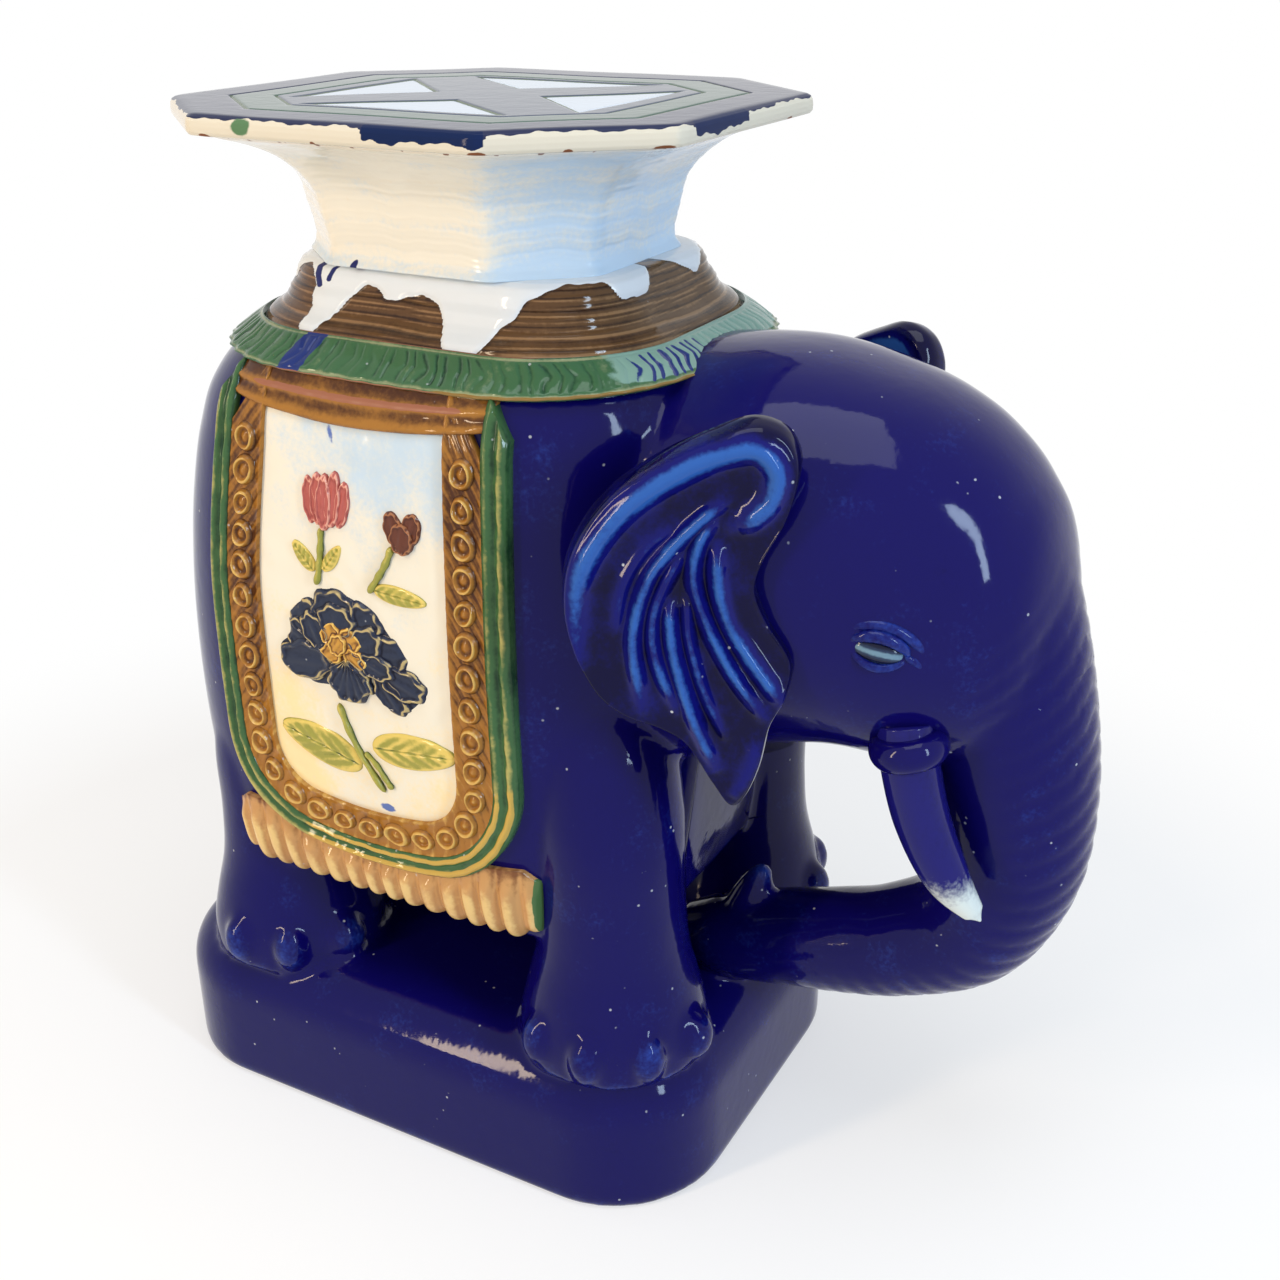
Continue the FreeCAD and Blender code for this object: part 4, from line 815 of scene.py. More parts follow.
# %% [markdown]
# Ears, tusks and eyes are pressed on as finished pieces, so they are not melted
# into the skin: their folds are finer than its voxels. Each ear is a leaf of clay.
# Its outline is a smooth closed curve in a plane that turns out from the head, and
# its folds are raised where a point is near one of the fold lines. The same lines
# make the glaze thin, so the pale streaks lie exactly on the folds.
# %% Outline and fold lines of an ear
EAR_TURN = math.radians(25.0)
EAR_ROOT = np.array((0.212, -0.084, 0.0))
EAR_THICKNESS = 0.013
EAR_CURL = 0.0025
EAR_BACK = np.array((-math.cos(EAR_TURN), -math.sin(EAR_TURN), 0.0))
EAR_OUT = np.array((math.sin(EAR_TURN), -math.cos(EAR_TURN), 0.0))

# The outline back from the root and up from the floor, in metres
EAR_OUTLINE = np.array((
    (0.012, 0.444), (0.005, 0.436), (0.003, 0.424), (0.008, 0.404), (0.018, 0.384),
    (0.021, 0.37), (0.015, 0.354), (0.004, 0.335), (0.006, 0.316), (0.013, 0.3),
    (0.017, 0.28), (0.023, 0.264), (0.03, 0.258), (0.039, 0.27), (0.051, 0.29),
    (0.064, 0.299), (0.081, 0.306), (0.094, 0.318), (0.103, 0.338), (0.108, 0.362),
    (0.104, 0.388), (0.088, 0.413), (0.065, 0.43), (0.042, 0.441), (0.025, 0.447),
))

# Fold lines from the curl down, each with its height and its width
EAR_FOLDS = (
    (((0.101, 0.335), (0.099, 0.376), (0.081, 0.406), (0.055, 0.425), (0.033, 0.434),
      (0.021, 0.434), (0.014, 0.425), (0.016, 0.413), (0.024, 0.404), (0.031, 0.401)), 0.0068, 0.006),
    (((0.084, 0.35), (0.08, 0.372), (0.07, 0.389), (0.058, 0.399)), 0.003, 0.0034),
    (((0.072, 0.312), (0.076, 0.345), (0.07, 0.372), (0.06, 0.388), (0.047, 0.402),
      (0.036, 0.411)), 0.0058, 0.004),
    (((0.056, 0.311), (0.066, 0.337), (0.067, 0.356), (0.062, 0.372), (0.055, 0.386)), 0.005, 0.0036),
    (((0.038, 0.282), (0.05, 0.31), (0.058, 0.34), (0.06, 0.364)), 0.0056, 0.0038),
    (((0.034, 0.298), (0.044, 0.32), (0.051, 0.346), (0.052, 0.366)), 0.004, 0.003),
    (((0.017, 0.309), (0.032, 0.331), (0.043, 0.354), (0.049, 0.374), (0.047, 0.391),
      (0.04, 0.403)), 0.0056, 0.0036),
    (((0.009, 0.317), (0.021, 0.334), (0.033, 0.354), (0.038, 0.372), (0.039, 0.39)), 0.0062, 0.0044),
    (((0.02, 0.294), (0.025, 0.277), (0.031, 0.266)), 0.003, 0.004),
)
print("ear turned out by", math.degrees(EAR_TURN), "degrees, folds:", len(EAR_FOLDS))


# %% Heights of the ear's folds
def near_line(places, line):
    """The distance from each place to a smooth line, measured square to the nearest
    of its short straight steps, and how far along that is, as a share."""
    line = np.asarray(line, float)
    samples = smooth(np.linspace(0, 1, len(line)), line, np.linspace(0, 1, 48))
    run = np.diff(samples, axis=0)
    gap = places[..., None, :] - samples[:-1]
    at = np.clip((gap * run).sum(axis=-1) / (run ** 2).sum(axis=-1), 0, 1)
    away = np.linalg.norm(gap - at[..., None] * run, axis=-1)
    nearest = away.argmin(axis=-1)[..., None]
    along = (nearest + np.take_along_axis(at, nearest, axis=-1)) / len(run)
    return np.take_along_axis(away, nearest, axis=-1)[..., 0], along[..., 0]


def fold_height(places):
    """The folds' height: for each line a bell over the distance to it, which
    fades at the line's ends; the highest bell counts."""
    height = np.zeros(places.shape[:-1])
    for line, rise, width in EAR_FOLDS:
        gap, along = near_line(places, line)
        fade = np.sqrt(np.clip(np.minimum(along, 1 - along) * 7 + 0.15, 0, 1))
        height = np.maximum(height, rise * fade * bell(gap, width))
    return height


print("height on the first fold:", fold_height(np.array(EAR_FOLDS[0][0][4])).round(4), "m")


# %% Ears
def closed_curve(places, count):
    """A smooth closed curve through places."""
    wrapped = np.concatenate([places[-3:], places, places[:3]])
    at = np.linspace(0, len(places), count, endpoint=False)
    return smooth(np.arange(len(wrapped)) - 3.0, wrapped, at)


def ear(hand, around=300, rings=90):
    """An ear: rings from its middle out to the outline over the front face, then
    back in behind. The front carries the folds and a rolled edge."""
    outline = closed_curve(EAR_OUTLINE, around)
    middle = np.array((0.055, 0.362))
    out = np.linspace(0.02, 1, rings)
    front = middle + (outline - middle) * out[:, None, None]
    folds = fold_height(front)
    rim = bell(1 - out[:, None], 0.05) * np.ones(around)
    dish = 0.004 * (out[:, None] ** 2) * np.ones(around)
    edge = np.sqrt(np.clip(1 - ease(out, 0.93, 1.0) ** 2, 0, 1))[:, None]
    curl = ease(front[..., 0], 0.04, 0.108) * EAR_CURL
    height = (folds + dish + rim * 0.0015) * edge + EAR_THICKNESS * 0.5 * edge + curl
    behind = middle + (outline - middle) * out[::-1][1:, None, None]
    under = -EAR_THICKNESS * 0.5 * edge[::-1][1:] + ease(behind[..., 0], 0.04, 0.108) * EAR_CURL
    flat = np.concatenate([front, behind])
    lift = np.concatenate([height, under + 0 * behind[..., 0]])
    points = EAR_ROOT + EAR_BACK * flat[..., :1] + EAR_OUT * lift[..., None]
    points[..., 2] += flat[..., 1]
    if hand == "left":
        points[..., 1] *= -1
    hollow = np.exp(-(fold_height(flat) / 0.0022) ** 1.5) * 0.3
    streak = np.clip(fold_height(flat) / 0.006, 0, 1) ** 2
    thickness = 0.62 + hollow - 0.58 * streak
    return skin("ear_leaf_" + hand, points, {"thickness": np.clip(thickness, 0.02, 1.0)})


ear_blue = glaze("ear_blue", (0.024, 0.1, 0.37), (0.004, 0.005, 0.125), (0.0015, 0.001, 0.03),
                 mottle=1.0, specks=0.9, shine=0.16)
finish_pair(ear, ear_blue, "ear_glaze", "ear")

# %% [markdown]
# Each tusk is a roll of clay, bent while it is soft and pushed into a raised collar.
# A curve object with a round bevel would give the same form. A tube worked out from
# a line and its radii keeps the rings in order, so the glaze can be made thinner
# ring by ring towards the tip, where the clay shows white.
# %% Tusks and their sockets
TUSK_LINE = ((0.255, 0.06, 0.3), (0.258, 0.062, 0.285), (0.266, 0.06, 0.252),
             (0.28, 0.058, 0.222), (0.297, 0.054, 0.2))
TUSK_RADII = (0.0135, 0.014, 0.0135, 0.011, 0.004)


def mirrored(points, hand):
    """The points on the side asked for, from points with y towards the outside."""
    return points * np.array((1.0, 1.0 if hand == "left" else -1.0, 1.0))


def tusk(hand, rings=90, around=48):
    """A tusk: a round profile along a bent line, thinning to a rounded tip. The
    glaze thins towards the tip, where the clay shows white."""
    points = tube(TUSK_LINE, TUSK_RADII, rings, around)
    share = np.linspace(0, 1, rings)[:, None] * np.ones(around)
    tip = points[-6:].mean(axis=1, keepdims=True)
    points[-6:] = tip + (points[-6:] - tip) * np.linspace(1, 0.15, 6)[:, None, None]
    facing = np.cos(circle(around) - 2.0)[None, :]
    thickness = np.clip(0.66 - ease(share, 0.6, 0.97) * 0.7 - 0.08 * facing, 0.0, 1.0)
    return skin("tusk_" + hand + "_form", mirrored(points, hand), {"thickness": thickness})


def ring_on(middle, axis, radius, wire, lift, around=64, sides=24):
    """A rounded ring: a small circle carried round a large one. Lift stretches the
    small circle along the ring's axis."""
    axis = np.asarray(axis, float)
    axis /= np.linalg.norm(axis)
    side = np.cross(axis, (0.0, 0.0, 1.0) if abs(axis[2]) < 0.9 else (1.0, 0.0, 0.0))
    side /= np.linalg.norm(side)
    other = np.cross(axis, side)
    turn = circle(around)[:, None, None]
    small = circle(sides)[None, :, None]
    radial = side * np.cos(turn) + other * np.sin(turn)
    return (np.asarray(middle) + radial * (radius + wire * np.cos(small))
            + axis * wire * lift * np.sin(small))


tusk_blue = glaze("tusk_blue", (0.62, 0.68, 0.66), (0.008, 0.007, 0.13), (0.003, 0.002, 0.04),
                  mottle=0.3)
tusk_line = np.array(TUSK_LINE)
socket_ring = ring_on(tusk_line[1] + (0, 0, 0.004), tusk_line[2] - tusk_line[0], 0.0125, 0.0065, 1.25)
finish_pair(tusk, tusk_blue, "tusk_glaze", "tusk")
for hand in HANDS:
    socket = skin("tusk_collar_" + hand, mirrored(socket_ring, hand),
                  {"thickness": np.full(socket_ring.shape[:2], 0.5)}, loop_data)
    finish_piece(socket, cobalt, "cobalt_glaze", "tusk_socket_" + hand)
print("tusk length", round(float(np.linalg.norm(np.diff(tusk_line, axis=0), axis=1).sum()), 3))

# %% [markdown]
# The eye is a drop of clay under two rolled lids, with one more roll for the brow and
# one that runs down from its front corner. All of them are drawn on a small plane
# that stands square to the head, along its slit and up, which is easier to judge than
# places in space, and lets a single function lay them out on either side.
# %% Places and rolls for the eyes
EYE_MIDDLE = np.array((0.2465, 0.08, 0.343))
EYE_OUT = np.array((0.34, 0.94, 0.03))
EYE_HALF_LENGTH = 0.0125
EYE_HALF_HEIGHT = 0.0068
EYE_SLOPE = 0.22

# The rolls round the eye: side of the slit, share of the eye's length, radius, lift
EYE_ROLLS = ((1, 1.12, 0.003, 0.003), (-1, 1.1, 0.0022, 0.0018), (1, 1.75, 0.003, 0.0005))


def eye_frame(along, up, out):
    """Places near the eye: along its slit to the front, up, and out of the head."""
    normal = EYE_OUT / np.linalg.norm(EYE_OUT)
    front = np.array((normal[1], -normal[0], 0.0)) * math.cos(EYE_SLOPE)
    front = front - np.array((0.0, 0.0, 1.0)) * math.sin(EYE_SLOPE)
    rise = np.cross(normal, front)
    rise *= np.sign(rise[2])
    return (EYE_MIDDLE + front * np.asarray(along)[..., None] + rise * np.asarray(up)[..., None]
            + normal * np.asarray(out)[..., None])


def lid_line(count, widen, sign):
    """Half of an almond: a flattened arc from corner to corner."""
    share = np.linspace(-1, 1, count)
    along = EYE_HALF_LENGTH * widen * share
    up = sign * EYE_HALF_HEIGHT * widen * (1 - share ** 2) ** 0.75
    return along, up, share


def crescent(line, radius, rings=60, around=20):
    """A roll of clay along a line, thickest at its middle and gone at its ends."""
    share = np.linspace(0, 1, rings)
    size = radius * np.sqrt(np.clip(1 - (2 * share - 1) ** 4, 0.004, 1))
    return rolled(smooth(np.linspace(0, 1, len(line)), line, share), size, EYE_OUT, around)


print("eye", 2 * EYE_HALF_LENGTH, "m long, rolls round it:", len(EYE_ROLLS) + 1)

# %% Eyes
eye_glaze = glaze("eye_glaze", (0.14, 0.24, 0.32), (0.02, 0.036, 0.08), (0.006, 0.008, 0.03))
for hand in HANDS:
    turn = circle(48)[None, :]
    out = np.linspace(0.03, 1, 16)[:, None]
    along = EYE_HALF_LENGTH * 0.92 * out * np.cos(turn)
    up = EYE_HALF_HEIGHT * 0.92 * out * np.sin(turn)
    dome = eye_frame(along, up, 0.0052 * np.sqrt(1 - (out * 0.98) ** 2) + 0 * turn - 0.001)
    under = eye_frame(along[::-1], up[::-1], -0.006 + 0 * along)
    ball = mirrored(np.concatenate([dome, under]), hand)
    pupil = np.concatenate([0.5 - 0.5 * np.cos(6 * up / EYE_HALF_HEIGHT), 0.5 + 0 * under[..., 0]])
    eye = skin("eye_" + hand, ball, {"thickness": np.clip(pupil, 0, 1)})
    finish_piece(eye, eye_glaze, "eye_glaze", "eyeball_" + hand)
    rolls = []
    for sign, widen, radius, lift in EYE_ROLLS:
        along, up, share = lid_line(14, widen, sign)
        rolls.append(mirrored(crescent(eye_frame(along, up, lift - 0.004 * share ** 2), radius), hand))
    tear = eye_frame(EYE_HALF_LENGTH * np.array((0.95, 1.5, 2.0, 2.45)),
                     EYE_HALF_HEIGHT * np.array((0.1, -0.35, -1.2, -2.3)),
                     np.array((0.0005, -0.0025, -0.006, -0.01)))
    rolls.append(mirrored(crescent(tear, 0.0022), hand))
    lids = joined_skin(rolls)
    lids.name = "eyelid_rolls_" + hand
    paint(lids, "thickness", np.full(len(lids.data.vertices), 0.33))
    finish_piece(lids, cobalt, "cobalt_glaze", "eyelids_" + hand)
print("eyes at", EYE_MIDDLE)

# %% [markdown]
# The saddle is a turned mound. The potter's fingers leave rings round it, and the
# white glaze of the neck has run down over it in tongues. The lower edge of the
# glaze is one height for each direction round the mound; above that edge the clay
# is covered and stands out a little, which gives each tongue its thick round end.
# %% Sizes of the saddle and the glaze's lower edge
SADDLE_MIDDLE = 0.005
SADDLE_HALF_LENGTH = 0.114
SADDLE_HALF_WIDTH = 0.097
SADDLE_CORNER = 0.066

# The mound from its foot up: how far it is drawn in, and the height above the back
PLATFORM_LINE = np.array((
    (0.05, 0.0), (0.0, 0.0), (0.0, 0.009), (0.003, 0.0135), (0.009, 0.0172),
    (0.0125, 0.0205), (0.0145, 0.0255), (0.018, 0.0292), (0.0195, 0.034), (0.022, 0.0378),
    (0.0255, 0.0398), (0.031, 0.0402), (0.05, 0.04),
))

# The glaze's lower edge: degrees round from the front, and height above the floor
DRIP_EDGE = np.array((
    (-180, 0.48), (-158.8, 0.477), (-148.9, 0.482), (-145.4, 0.474), (-140.3, 0.481), (-134.7, 0.484),
    (-130.3, 0.481), (-126.1, 0.471), (-122.3, 0.458), (-119.2, 0.4516), (-117.2, 0.457),
    (-115.9, 0.4648), (-113.9, 0.4715), (-98.8, 0.473), (-81.6, 0.4745), (-77.5, 0.47), (-75.2, 0.459),
    (-70.3, 0.4522), (-64.7, 0.457), (-59, 0.466), (-54.1, 0.4725), (-51.4, 0.478), (-46.6, 0.482),
    (-42.6, 0.4845), (-33.5, 0.4848), (-28.4, 0.4835), (-26.5, 0.479), (-20.3, 0.4766), (-12.5, 0.478),
    (-8.8, 0.4845), (3.7, 0.486), (10.4, 0.4814), (17.1, 0.4767), (22.2, 0.4815), (28.4, 0.484),
    (38.2, 0.4835), (44.6, 0.478), (50.8, 0.464), (56, 0.4555), (60.3, 0.463), (72.9, 0.477),
    (101.7, 0.474), (115.2, 0.462), (119.9, 0.4565), (125.5, 0.465), (133.3, 0.48), (141.8, 0.483),
    (148.9, 0.474), (153.1, 0.466), (158, 0.474), (180, 0.48),
))
print("glaze tongues reach down to", DRIP_EDGE[:, 1].min())


# %% Saddle platform with the glaze that ran over it
def saddle_plan(angles, grow):
    """The saddle's plan, grown outwards."""
    x, y = plan(angles, SADDLE_HALF_LENGTH + grow, SADDLE_HALF_LENGTH + grow,
                SADDLE_HALF_WIDTH + grow, SADDLE_CORNER + grow)
    return SADDLE_MIDDLE + x, y


def along_line(line, count):
    """Places at equal steps along a line of straight stretches."""
    steps = np.concatenate([[0], np.cumsum(np.linalg.norm(np.diff(line, axis=0), axis=1))])
    at = np.linspace(0, steps[-1], count)
    return np.stack([np.interp(at, steps, line[:, k]) for k in range(line.shape[1])], axis=-1)


def waves(value, *parts):
    """A sum of sines, each with its strength, its frequency and its phase."""
    return sum(strength * np.sin(frequency * value + phase) for strength, frequency, phase in parts)


def platform(rings=130, around=640):
    """The mound's line carried round its plan, with throwing rings whose height
    wanders round the mound, and with the glaze's thickness above its edge."""
    angles = circle(around)[None, :] - math.pi
    inset, lift = along_line(PLATFORM_LINE, rings).T[:, :, None]
    z = BACK + lift
    wander = waves(angles, (0.7, 3, 0.4), (0.5, 5, 2.0), (0.35, 9, 1.0))
    rings_cut = waves(z * 1000 + wander, (0.00022, 2.1, 0.3), (0.00016, 3.7, 1.1), (0.00012, 0.9, 2.0))
    side = ease(lift, 0.001, 0.006) * ease(-lift, -0.0398, -0.036)
    edge = smooth(DRIP_EDGE[:, 0], DRIP_EDGE[:, 1], np.degrees(angles)) + 0.00025 * np.sin(61 * angles)
    covered = ease(z - edge, -0.0005, 0.0007)
    raised = 0.0009 * ease(z - edge, -0.0006, 0.0022) * ease(-lift, -0.0404, -0.037)
    x, y = saddle_plan(angles, rings_cut * side * (1 - covered) + raised * 0.9 - inset)
    z = z + raised * 0.45 + 0 * angles
    degrees = np.degrees(angles)
    streak = bell(degrees + 127.5 + 300 * (z - 0.481), 1.5) * ease(z, 0.4735, 0.4765)
    streak += 0.8 * bell(degrees + 123.0, 1.2) * ease(z, 0.4765, 0.479)
    lip = bell(z - edge + 0.0004, 0.0007)
    thickness = 0.52 + 1500 * rings_cut + 0.4 * lip - 0.5 * ease(-z, -BACK - 0.005, -BACK)
    points = np.stack([x, y, z], axis=-1)
    return skin("saddle_mound", points, {
        "thickness": np.clip(np.where(covered > 0.5, 0.55, thickness), 0, 1),
        "white_drip": covered, "blue_run": streak})


saddle_brown = glaze(
    "saddle_brown", (0.26, 0.145, 0.065), (0.105, 0.052, 0.02), (0.035, 0.016, 0.008),
    layers=(("white_drip", (0.72, 0.76, 0.8), 0.25, 0.0), ("blue_run", (0.012, 0.016, 0.12), 0.4, 0.0)),
    mottle=0.9)
saddle = platform()
finish_piece(saddle, saddle_brown, "saddle_glaze", "saddle_platform")
print("saddle mound with", len(saddle.data.polygons), "faces")

# %% [markdown]
# A flat coil of clay hides the joint between mound and barrel. The potter pressed the
# edge of a stick into it, stroke by stroke, to draw a vein of leaves. The strokes are
# real grooves here, because they catch the light and collect the glaze: the distance
# run round the mound, divided by the pitch, tells how near the next stroke is.
# %% Collar with incised strokes
COLLAR_SPREAD = 0.019
COLLAR_HEIGHT = 0.012
COLLAR_DROOP = 0.007
COLLAR_EDGE = 0.0035
STROKE_PITCH = 0.0062
STROKE_DEPTH = 0.0008


def patch(angles, middle, half, soft):
    """A share that is 1 within half a width of a direction, in degrees."""
    away = np.abs((np.degrees(angles) - middle + 180) % 360 - 180)
    return ease(-away, -half - soft, -half)


def collar(around=1800):
    """A sloping band round the mound's foot, whose outer edge droops over the
    barrel's shoulder. Slanted strokes are pressed into it in two rows that meet in
    the middle, like the veins of a leaf."""
    angles = (circle(around) - math.pi)[:, None]
    slope = np.linspace(0, 1, 34)[None, :]
    x, y = saddle_plan(angles[:, 0], 0.01)
    run = np.concatenate([[0], np.cumsum(np.hypot(np.diff(x), np.diff(y)))])[:, None]
    run = run * (round(run[-1, 0] / STROKE_PITCH) * STROKE_PITCH / run[-1, 0])
    lean = np.abs(slope - 0.52) * 1.15
    phase = run / STROKE_PITCH + lean + 0.16 * np.sin(run * 410) + 0.1 * np.sin(run * 173 + 9 * slope)
    away = np.abs((phase + 0.5) % 1.0 - 0.5)
    stroke = bell(away, 0.17) * ease(slope, 0.08, 0.2) * ease(-slope, -0.92, -0.82)
    stroke *= 0.65 + 0.35 * np.sin(run * 71 + 1.0) * np.sin(run * 23)
    lines = bell(slope - 0.06, 0.035) + bell(slope - 0.94, 0.035)
    sunk = STROKE_DEPTH * np.maximum(stroke, 0.7 * lines) - 0.0006 * np.sin(slope * math.pi)
    grow = (COLLAR_SPREAD * (1 - slope) + 0.001 * slope - 0.47 * sunk
            + 0.0005 * np.sin(run * 480) * (1 - slope))
    hang = COLLAR_DROOP * (1 - 0.5 * np.cos(angles) ** 2)
    lift = COLLAR_EDGE + (COLLAR_HEIGHT - COLLAR_EDGE) * slope - 0.88 * sunk - hang * (1 - slope)
    low = np.linspace(0, 1, 6)[None, 1:-1]
    under = np.stack([0.0005 + (COLLAR_SPREAD - 0.0005) * low + 0 * angles, -hang * low], axis=-1)
    band = np.concatenate([under, np.stack([grow, lift], axis=-1)], axis=1)
    x, y = saddle_plan(angles, band[..., 0])
    points = np.stack([x, y, BACK + band[..., 1]], axis=-1)
    pale = patch(angles, 5, 32, 18) * ease(slope, 0.0, 0.3)
    thickness = 0.5 + 0.45 * stroke - 0.42 * lines - 0.1 * pale
    blue = 0.95 * patch(angles, -22, 7, 9) * (0.35 + stroke) + patch(angles, -114.0, 1.5, 3)
    blue += patch(angles, 70, 8, 10) * stroke
    blue += 0.9 * patch(angles, 5, 30, 10) * ease(stroke, 0.5, 0.9)
    bare = ease(np.abs(slope - 0.5), 0.46, 0.5) * (patch(angles, -85, 30, 12) + patch(angles, 95, 40, 12))
    honey_line = patch(angles, -28, 40, 12) * ease(-slope, -0.1, -0.03)

    def whole(values):
        """A mask of the slope, with nothing on the underside."""
        return np.concatenate([np.zeros((around, 4)), np.broadcast_to(values, (around, 34))], axis=1)

    return skin("saddle_band", points, {
        "thickness": np.clip(0.5 + whole(thickness - 0.5), 0, 1), "blue_run": whole(np.clip(blue, 0, 1)),
        "bare_clay": whole(bare), "honey": whole(honey_line), "pale_wash": whole(pale)}, loop_data)


collar_green = glaze(
    "collar_green", (0.26, 0.3, 0.16), (0.045, 0.125, 0.055), (0.01, 0.045, 0.022),
    layers=(("pale_wash", (0.2, 0.34, 0.28), 0.5, 0.0), ("blue_run", (0.012, 0.028, 0.16), 0.7, 0.0),
            ("bare_clay", (0.3, 0.13, 0.075), 0.4, 0.4),
            ("honey", (0.26, 0.16, 0.045), 0.6, 0.0)), mottle=0.9)
finish_piece(collar(), collar_green, "collar_glaze", "saddle_collar")
print("collar strokes every", STROKE_PITCH, "m")

# %% [markdown]
# The neck and the seat are eight sided. The distance to a straight side is the
# same everywhere along it, so the outline is found as the place where the nearest
# side is met, and a high power rounds the corners. Lines cut parallel to the edge
# are then rows of the same formula with the sides moved in, and stay sharp.
# %% The eight sided plan
SEAT_HALF_LENGTH = 0.144
SEAT_HALF_WIDTH = 0.13
SEAT_CUT_LENGTH = 0.066
SEAT_CUT_WIDTH = 0.059
SLAB_THICKNESS = 0.01
SLAB_TOP = corners("seat_slab")[1][2]
SIDE_TURN = math.atan2(SEAT_CUT_LENGTH, SEAT_CUT_WIDTH)
SIDE_REACH = (((SEAT_HALF_LENGTH - SEAT_CUT_LENGTH) * SEAT_CUT_WIDTH + SEAT_HALF_WIDTH * SEAT_CUT_LENGTH)
              / math.hypot(SEAT_CUT_LENGTH, SEAT_CUT_WIDTH))
SEAT_SIDES = [(0.0, SEAT_HALF_LENGTH), (math.pi, SEAT_HALF_LENGTH),
              (math.pi / 2, SEAT_HALF_WIDTH), (-math.pi / 2, SEAT_HALF_WIDTH)]
SEAT_SIDES += [(turn, SIDE_REACH) for turn in (SIDE_TURN, -SIDE_TURN,
                                               math.pi - SIDE_TURN, SIDE_TURN - math.pi)]


def octagon(angles, share, inset, power):
    """The reach of the eight sided plan by direction: a share of the seat's plan,
    drawn in by an inset, its corners rounded the less the higher the power."""
    total = 0
    for turn, reach in SEAT_SIDES:
        facing = np.maximum(np.cos(angles - turn), 0) / np.maximum(reach * share - inset, 1e-4)
        total = total + facing ** power
    return total ** (-1 / power)


print("reach of the slanted sides", round(SIDE_REACH, 4), "m")

# %% Neck
# The neck from its foot up: shares of its height and of the seat's plan
NECK_LINE = np.array((
    (0.0, 0.59), (0.06, 0.584), (0.12, 0.58), (0.34, 0.598), (0.58, 0.628), (0.76, 0.7),
    (0.86, 0.77), (0.93, 0.85), (0.985, 0.93), (1.0, 0.94),
))


def neck(rings=120, around=600):
    """The waisted neck with faint tooling rings; its foot flares into the glaze."""
    foot = corners("seat_pedestal")[0][2]
    height = SLAB_TOP - SLAB_THICKNESS - foot
    angles = circle(around)[None, :]
    share = np.linspace(0, 1, rings)[:, None]
    reach = smooth(NECK_LINE[:, 0], NECK_LINE[:, 1], share[:, 0])[:, None]
    wander = waves(angles, (0.8, 2, 0.0), (0.6, 5, 1.3), (0.5, 11, 0.2), (0.3, 23, 0.7))
    tool = waves(share * 60 + wander * 1.5, (0.00009, 1.1, 0.0), (0.00005, 2.3, 1.0), (0.00014, 0.43, 2.0))
    radius = octagon(angles, reach, -tool, 56)
    radius = radius + 0.0015 * ease(-share, -0.07, 0.0)
    z = foot + height * share + 0 * angles
    points = np.stack([radius * np.cos(angles), radius * np.sin(angles), z], axis=-1)
    streaks = waves(angles, (0.5, 37, 0.0), (0.5, 83, 1.0), (0.4, 151, 2.0))
    under_rim = ease(share, 0.955, 0.99) * ease(streaks, 0.45, 0.9) + 0 * angles
    low_left = bell(np.degrees(angles) - 248.5, 1.5) * ease(-share, -0.1, -0.02)
    # Painted cool reflection: the front facets get deeper glaze, so they show the pale blue deep colour; the
    # glaze is also deeper all round the foot.
    painted_cool_front_and_deep_foot = patch(angles, -10, 38, 22) + ease(-share, -0.12, 0.0)
    return skin("waisted_neck", points, {
        "thickness": np.clip(0.55 - tool * 350 - 0.25 * ease(share, 0.9, 1.0) + 0.3 * painted_cool_front_and_deep_foot, 0, 1),
        "bare_clay": 0.8 * under_rim, "blue_run": low_left})


# The pale blue deep colour stands mostly for painted cool reflection on the front facets.
neck_white = glaze(
    "neck_white", (0.8, 0.66, 0.48), (0.8, 0.76, 0.66), (0.52, 0.66, 0.8),
    layers=(("blue_run", (0.012, 0.016, 0.11), 0.5, 0.0),
            ("bare_clay", (0.2, 0.075, 0.035), 0.7, 0.35)), specks=0.25)
finish_piece(neck(), neck_white, "neck_glaze", "seat_pedestal")
print("waist of the neck:", NECK_LINE[:, 1].min(), "of the seat's plan")

# %% [markdown]
# The seat is a slab cut out with a knife. Lines were scratched into it before glazing,
# because molten glazes stop at a line and don't mix. So each colour field is bounded
# by a groove: a band of green near the edge, and four white wedges that leave a cross
# between them. An image texture would be quicker, but its edges would be flat.
# %% Seat fields and their distances
SEAT_BAND_INSET = 0.028
SEAT_BAND_WIDTH = 0.019
SEAT_LINE_WIDTH = 0.002
SEAT_LINE_DEPTH = 0.0008
WEDGE_POINT = 0.22
WEDGE_BASE = 0.56
WEDGE_SPREAD = 0.38

# Insets between which the plan shrinks towards its middle without its own sides
SHRINK_START = 0.085
SHRINK_END = 0.1299

# Blue that ran over the rim: direction in degrees and half width, and chips with both
RIM_RUNS = ((-72, 8), (-62, 3.5), (-12, 9), (150, 10), (60, 6))
RIM_CHIPS = ((-28.6, 2.0), (16.6, 1.4), (-58.8, 1.8), (-93, 0.8), (-44, 1.0), (-118, 1.2), (60, 1.5))


def side_distance(x, y):
    """The distance from a place in the seat's plan to the nearest side."""
    return np.min([reach - x * math.cos(turn) - y * math.sin(turn) for turn, reach in SEAT_SIDES], axis=0)


